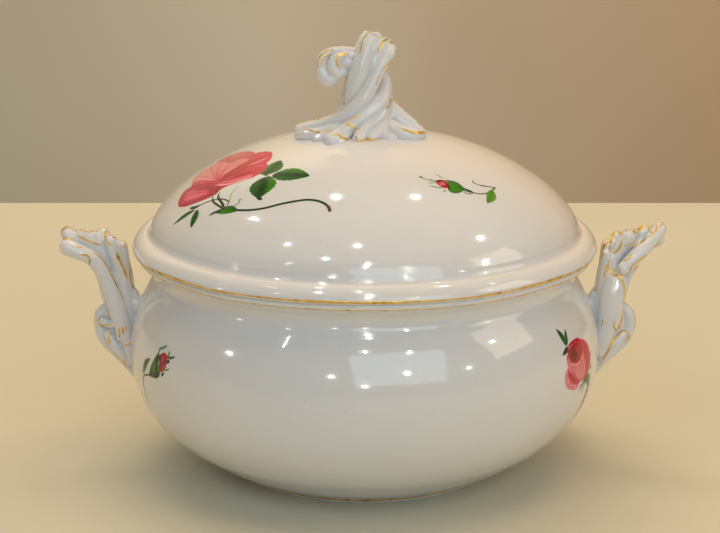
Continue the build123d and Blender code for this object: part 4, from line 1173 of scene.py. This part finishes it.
def belly_rose_sheet():
    """The upright rose on the right of the bowl."""
    sheet = Sheet((-19, -35), (23, 24), 0.25)
    sheet.leaf((-9.6, 12.4), (-14.6, 22.6), 3.8, -0.5, LEAF_DARK, LEAF_GREEN, 4)
    sheet.leaf((-9.0, 12.8), (-6.4, 20.6), 3.0, 0.4, LEAF_DARK, LEAF_GREEN, 3)
    sheet.leaf((-8.8, 12.0), (-15.6, 9.0), 2.8, 0.3, LEAF_DARK, BROWN, 3)
    sheet.petal([(-7, 10), (-2.0, 13.4), (3.2, 13.6), (9.6, 10.4), (15.4, 7.2), (17.4, 1.0), (16.4, -5.0),
                 (10.4, -9.0), (3, -9.6), (-6, -4), (-11.6, 4)], (0, 4), (0.86, 0.20, 0.32), ROSE_RED, 0.9,
                8, 0.25)
    sheet.petal([(8.0, 11.6), (14.6, 7.8), (17.4, 1.0), (16.2, -5.0), (10.6, -8.8), (8.6, -3), (8.2, 4)],
                (9, 2), (0.85, 0.17, 0.29), ROSE_RED, 1.0, 7, 0.2)
    sheet.stroke([(9.6, 9.4), (12.6, 4.4), (12.6, -1.4), (9.8, -6.6)], 2.4, ROSE_RED, 0.8)
    sheet.petal([(-11.6, 8.4), (-12.4, 3.6), (-10.4, -1.6), (-4, -6.4), (2.6, -9.6), (8.4, -6.6), (8.8, 0),
                 (6.2, 6.2), (1.4, 2.2), (-5.4, 2.6)], (-1, 11), (0.95, 0.58, 0.59), ROSE_RED, 0.7, 8, 0.3)
    sheet.petal([(-10.6, 10.2), (-5.2, 13.4), (2.6, 13.0), (7.0, 9.4), (5.2, 4.2), (-1.2, 1.8),
                 (-8.4, 3.4)], (-3, 6.4), (0.80, 0.09, 0.20), (0.56, 0.0, 0.06), 1.0, 7, 0.3)
    sheet.petal([(-7.2, 9.8), (-4.2, 11.0), (-1.4, 9.0), (-0.6, 5.2), (-3.0, 3.0), (-6.6, 4.6),
                 (-8.4, 7.4)], (-4, 6), (0.60, 0.0, 0.10), (0.32, 0.0, 0.06), 1.0, 5, 0.1)
    sheet.stroke([(-9.4, 11.0), (-5.4, 11.4), (-2.4, 12.6), (1.2, 11.4)], 0.8, PALE_PINK, 0.8)
    sheet.stroke([(-4.4, 12.6), (2.4, 12.6), (6.6, 9.4)], 1.5, ROSE_RED, 0.8)
    sheet.stroke([(0.4, 11.0), (2.8, 8.4), (4.2, 4.6)], 1.2, CRIMSON, 0.8)
    sheet.stroke([(-8.6, 3.2), (-4.0, 1.2), (1.4, 1.2), (5.4, 4.0)], 0.8, BLUSH, 0.6)
    sheet.petal([(-12.4, 1.6), (-15.8, -2.6), (-14.8, -7.2), (-9.4, -10.8), (-1.2, -12.2), (1.6, -9.2),
                 (-5, -3.6)], (-6, -4), (0.95, 0.62, 0.62), ROSE_PINK, 1.0, 7, 0.4)
    sheet.stroke([(-11.4, 0.4), (-10.6, -3.2), (-7.2, -6.4), (-2.2, -8.6), (3.0, -8.8)], 2.4, ROSE_RED,
                 0.85)
    sheet.stroke([(-9.6, -2.4), (-6.0, -5.6), (-1.4, -7.6)], 1.2, CRIMSON, 0.6)
    sheet.stroke([(18.2, 2.6), (18.8, -0.6)], 0.8, STEM_GREEN, 0.9)
    sheet.stroke([(17.0, -6.2), (19.0, -5.2)], 1.4, LEAF_DARK, 0.9, 1.0, 0.6)
    sheet.petal([(10.4, -7.4), (15.0, -8.6), (18.6, -12.6), (16.2, -16.4), (11.0, -12.2), (6.4, -11.4)],
                (12, -10), LEAF_GREEN, LEAF_DARK, 0.8, 5, 0.4)
    sheet.stroke([(10.6, -9.8), (5.4, -11.6), (0.6, -14.2)], 1.5, LEAF_DARK, 0.95)
    sheet.stroke([(11.6, -11.4), (7.8, -13.4), (5.0, -16.8)], 1.2, STEM_GREEN, 0.9)
    sheet.stroke([(14.8, -10.2), (18.2, -10.6), (21.0, -9.6)], 0.7, (0.72, 0.50, 0.42), 0.6)
    sheet.leaf((18.6, -14.6), (12.4, -33.0), 4.6, -1.0, STEM_GREEN, LEAF_LIGHT, 4, 0.1)
    return sheet


def make_paint():
    shader = Shader("painted_porcelain")
    colour = shader.add("ShaderNodeAttribute", attribute_name="paint").outputs["Color"]
    cover = shader.add("ShaderNodeAttribute", attribute_name="cover").outputs["Fac"]
    wash = shader.level(shader.noise(420.0, 3.0, 0.6), 0.97, 1.0, 0.3, 0.6)
    thin = shader.add("ShaderNodeMath", [(0, cover), (1, wash)], operation="MULTIPLY")
    shader.drive("Base Color", shader.mix(thin.outputs[0], porcelain_tint(shader), colour))
    glaze(shader)
    shader.set(Specular_IOR_Level=0.32, Coat_Weight=0.1)
    return shader.material


def linear(colour):
    """sRGB colours turned into linear light."""
    colour = np.clip(colour, 0, 1)
    return np.where(colour <= 0.04045, colour / 12.92, ((colour + 0.055) / 1.055) ** 2.4)


LID_TREE = surface_tree(lid)
BOWL_TREE = surface_tree(bowl)
PAINT = make_paint()
PAINT_LIFT = 0.03 * MM  # how far the paint stands off the glaze
PAINT_FROM = 0.02  # metres in front of the surface, where the search for it starts
FAINTEST = 0.02  # cover below this isn't laid


def lay_spray(name, sheet, tree, place, body):
    """Lays a painted sheet on a surface, centred on place (angle in degrees, radius, height)."""
    degrees, radius, height = place
    turn = math.radians(degrees)
    middle = Vector((radius * math.sin(turn), -radius * math.cos(turn), height)) * MM
    foot, normal = tree.find_nearest(middle)[:2]
    if normal.dot(Vector((middle.x, middle.y, 0.02))) < 0:
        normal = -normal
    along = Vector((math.cos(turn), math.sin(turn), 0.0))
    up = normal.cross(along).normalized()
    needed = np.zeros(sheet.cover.shape, bool)
    paint = sheet.cover > FAINTEST
    needed[:-1, :-1] |= paint[:-1, :-1] | paint[1:, :-1] | paint[:-1, 1:] | paint[1:, 1:]
    corner = np.zeros(sheet.cover.shape, int) - 1
    verts, faces, colours, covers = [], [], [], []
    shades = linear(sheet.colour)
    rows, cols = np.nonzero(needed)
    for i, j in zip(rows, cols):
        face = []
        for a, b in ((i, j), (i, j + 1), (i + 1, j + 1), (i + 1, j)):
            if corner[a, b] < 0:
                shift = along * float(sheet.u[a, b]) + up * float(sheet.v[a, b])
                hit = tree.ray_cast(foot + shift * MM + normal * PAINT_FROM, -normal, 4 * PAINT_FROM)
                if hit[0] is None:
                    corner[a, b] = -2
                else:
                    out = hit[1] if hit[1].dot(normal) > 0 else -hit[1]
                    corner[a, b] = len(verts)
                    verts.append(hit[0] + out * PAINT_LIFT)
                    colours.append((*shades[a, b], 1.0))
                    covers.append(sheet.cover[a, b])
            face.append(corner[a, b])
        if min(face) >= 0:
            faces.append(face)
    obj = new_object(name, verts, faces)
    if len(obj.data.vertices) != len(colours):
        raise RuntimeError("the painted sheet lost points")
    layers = obj.data.attributes
    layers.new("paint", "FLOAT_COLOR", "POINT").data.foreach_set("color", np.ravel(colours))
    layers.new("cover", "FLOAT", "POINT").data.foreach_set("value", np.array(covers, np.float32))
    return dress(obj, PAINT, "glazed_porcelain", body)


# Each spray's name, sheet, surface and place (angle, radius, height); the angle at which it is
# painted again on the back; and the body that it rides on.
SPRAYS = [
    ("lid_rose", rose_sheet(), LID_TREE, (-61.0, 81.6, 161.0), 158.0, "lid"),
    ("lid_bud", bud_sheet(), LID_TREE, (35.1, 74.1, 165.0), 236.0, "lid"),
    ("bowl_bud", crimson_bud_sheet(), BOWL_TREE, (-58.7, 125.2, 69.0), 121.3, "bowl"),
    ("bowl_rose", belly_rose_sheet(), BOWL_TREE, (60.6, 125.2, 70.6), 240.6, "bowl"),
]
for name, sheet, tree, place, back, body in SPRAYS:
    lay_spray(name + "_front", sheet, tree, place, body)
    lay_spray(name + "_back", sheet, tree, (back, place[1], place[2]), body)


# ---- the set -----------------------------------------------------------------------------
def make_table():
    shader = Shader("cream_table_top")
    drift = shader.ramp(shader.noise(2.2, 2.0), [(0.3, (0.65, 0.62, 0.50)), (0.7, (0.70, 0.67, 0.54))])
    shader.drive("Base Color", drift)
    shader.set(Specular_IOR_Level=0.06)
    shader.drive("Roughness", shader.level(shader.noise(14.0, 3.0), 0.44, 0.52, 0.3, 0.7))
    shader.drive("Normal", shader.relief(shader.noise(90.0, 2.0), 0.02, 0.0005))
    return shader.material


def make_wall():
    shader = Shader("pale_warm_backdrop")
    place = shader.add("ShaderNodeTexCoord").outputs["Object"]
    across = shader.add("ShaderNodeSeparateXYZ", [("Vector", place)]).outputs["X"]
    side = shader.level(across, 0.0, 1.0, -0.9, 0.9)
    # Painted light: the backdrop is painted lighter in the middle than at its sides, a painted pool of
    # light, and it is more orange towards the right.
    stops = [(0.1, (0.62, 0.60, 0.46)), (0.42, (0.86, 0.77, 0.60)), (0.95, (0.68, 0.42, 0.21))]
    drift = shader.ramp(side, stops)
    cloud = shader.level(shader.noise(1.6, 2.0), 0.0, 0.35, 0.3, 0.8)
    shader.drive("Base Color", shader.mix(cloud, drift, (0.52, 0.38, 0.24)))
    shader.set(Roughness=0.8)
    return shader.material


def slab(name, corners, material):
    obj = new_object(name, corners, [range(len(corners))], smooth=False)
    obj.data.materials.append(material)
    return obj


TABLE_SIDE, TABLE_BACK = 3, 0.618
WALL_SIDE, WALL_AT = 4, 1.8
slab("floor", [(-TABLE_SIDE, -TABLE_SIDE, 0), (TABLE_SIDE, -TABLE_SIDE, 0), (TABLE_SIDE, TABLE_BACK, 0),
               (-TABLE_SIDE, TABLE_BACK, 0)], make_table())
slab("backdrop", [(-WALL_SIDE, WALL_AT, -1), (WALL_SIDE, WALL_AT, -1), (WALL_SIDE, WALL_AT, 3),
                  (-WALL_SIDE, WALL_AT, 3)], make_wall())


# ---- light -------------------------------------------------------------------------------
def panel(name, place, target, size, power, colour):
    """A flat soft light (watts, metres) that faces its target."""
    data = bpy.data.lights.new(name, "AREA")
    data.shape = "RECTANGLE"
    data.size, data.size_y = size
    data.energy = power
    data.color = colour
    obj = bpy.data.objects.new(name, data)
    bpy.context.scene.collection.objects.link(obj)
    obj.location = place
    obj.rotation_euler = (Vector(target) - Vector(place)).to_track_quat("-Z", "Y").to_euler()
    return obj


def lamp(name, place):
    """A small bare lamp, for the sparkle on the glaze."""
    data = bpy.data.lights.new(name, "POINT")
    data.energy = LAMP_POWER
    data.color = (1.0, 0.97, 0.92)
    data.shadow_soft_size = LAMP_RADIUS
    obj = bpy.data.objects.new(name, data)
    bpy.context.scene.collection.objects.link(obj)
    obj.location = place
    obj.visible_diffuse = False
    return obj


CENTRE = (0, 0, 0.10)
LAMP_POWER = 11.0
LAMP_RADIUS = 0.018
LAMP_DISTANCE = 2.4

overhead = panel("soft_overhead", (0.1, 0.25, 2.1), CENTRE, (2.2, 1.8), 25.5, (1.0, 0.70, 0.35))
key = panel("soft_key", (-1.2, -1.5, 1.8), CENTRE, (1.4, 1.2), 4.6, (0.88, 0.95, 1.0))
panel("soft_fill", (0.6, -2.0, 1.0), CENTRE, (1.8, 1.2), 11.4, (0.61, 0.82, 1.0))
panel("soft_side", (1.9, -0.4, 1.1), CENTRE, (1.0, 1.0), 6, (1.0, 0.80, 0.55))
wall_wash = panel("wall_wash", (-0.5, 0.9, 1.9), (-0.1, 1.8, 0.5), (1.6, 0.6), 12.6, (1.0, 0.95, 0.86))
for soft in (overhead, key, wall_wash):
    soft.visible_glossy = False

# Small lamps all round the room, as (azimuth from the front, elevation) in degrees.
LAMPS = [
    (0, 8), (0, 40), (2, 51), (-16, 15), (20, 17), (50, 14), (-69, 17), (-8, 73),
    (24, 37), (95, 51), (-71, 61), (-119, 54), (-157, 70), (146, 66), (70, 30), (-30, 58),
]
for k, (azimuth, elevation) in enumerate(LAMPS):
    across, rise = math.radians(azimuth), math.radians(elevation)
    level = LAMP_DISTANCE * math.cos(rise)
    height = CENTRE[2] + LAMP_DISTANCE * math.sin(rise)
    lamp("lamp_%02d" % k, (level * math.sin(across), -level * math.cos(across), height))
panel("lamp_strip", (-1.3, -1.3, 1.64), CENTRE, (0.03, 0.34), 0.7, (1.0, 0.98, 0.96))

world = bpy.data.worlds.new("room")
world.use_nodes = True
room_light = world.node_tree.nodes["Background"].inputs
room_light["Color"].default_value = (1.0, 0.93, 0.84, 1)
room_light["Strength"].default_value = 0.22
bpy.context.scene.world = world


# ---- camera ------------------------------------------------------------------------------
CAMERA_TILT = 75.29  # degrees up from looking straight down
lens = bpy.data.cameras.new("camera")
lens.lens = 100.0
lens.sensor_width = 36.0
lens.clip_start = 0.05
camera = bpy.data.objects.new("camera", lens)
camera.location = (-0.0025, -1.038, 0.379)
camera.rotation_euler = (math.radians(CAMERA_TILT), 0, 0)
bpy.context.scene.collection.objects.link(camera)
bpy.context.scene.camera = camera
bpy.context.scene.view_settings.view_transform = "Standard"

bpy.context.view_layer.update()
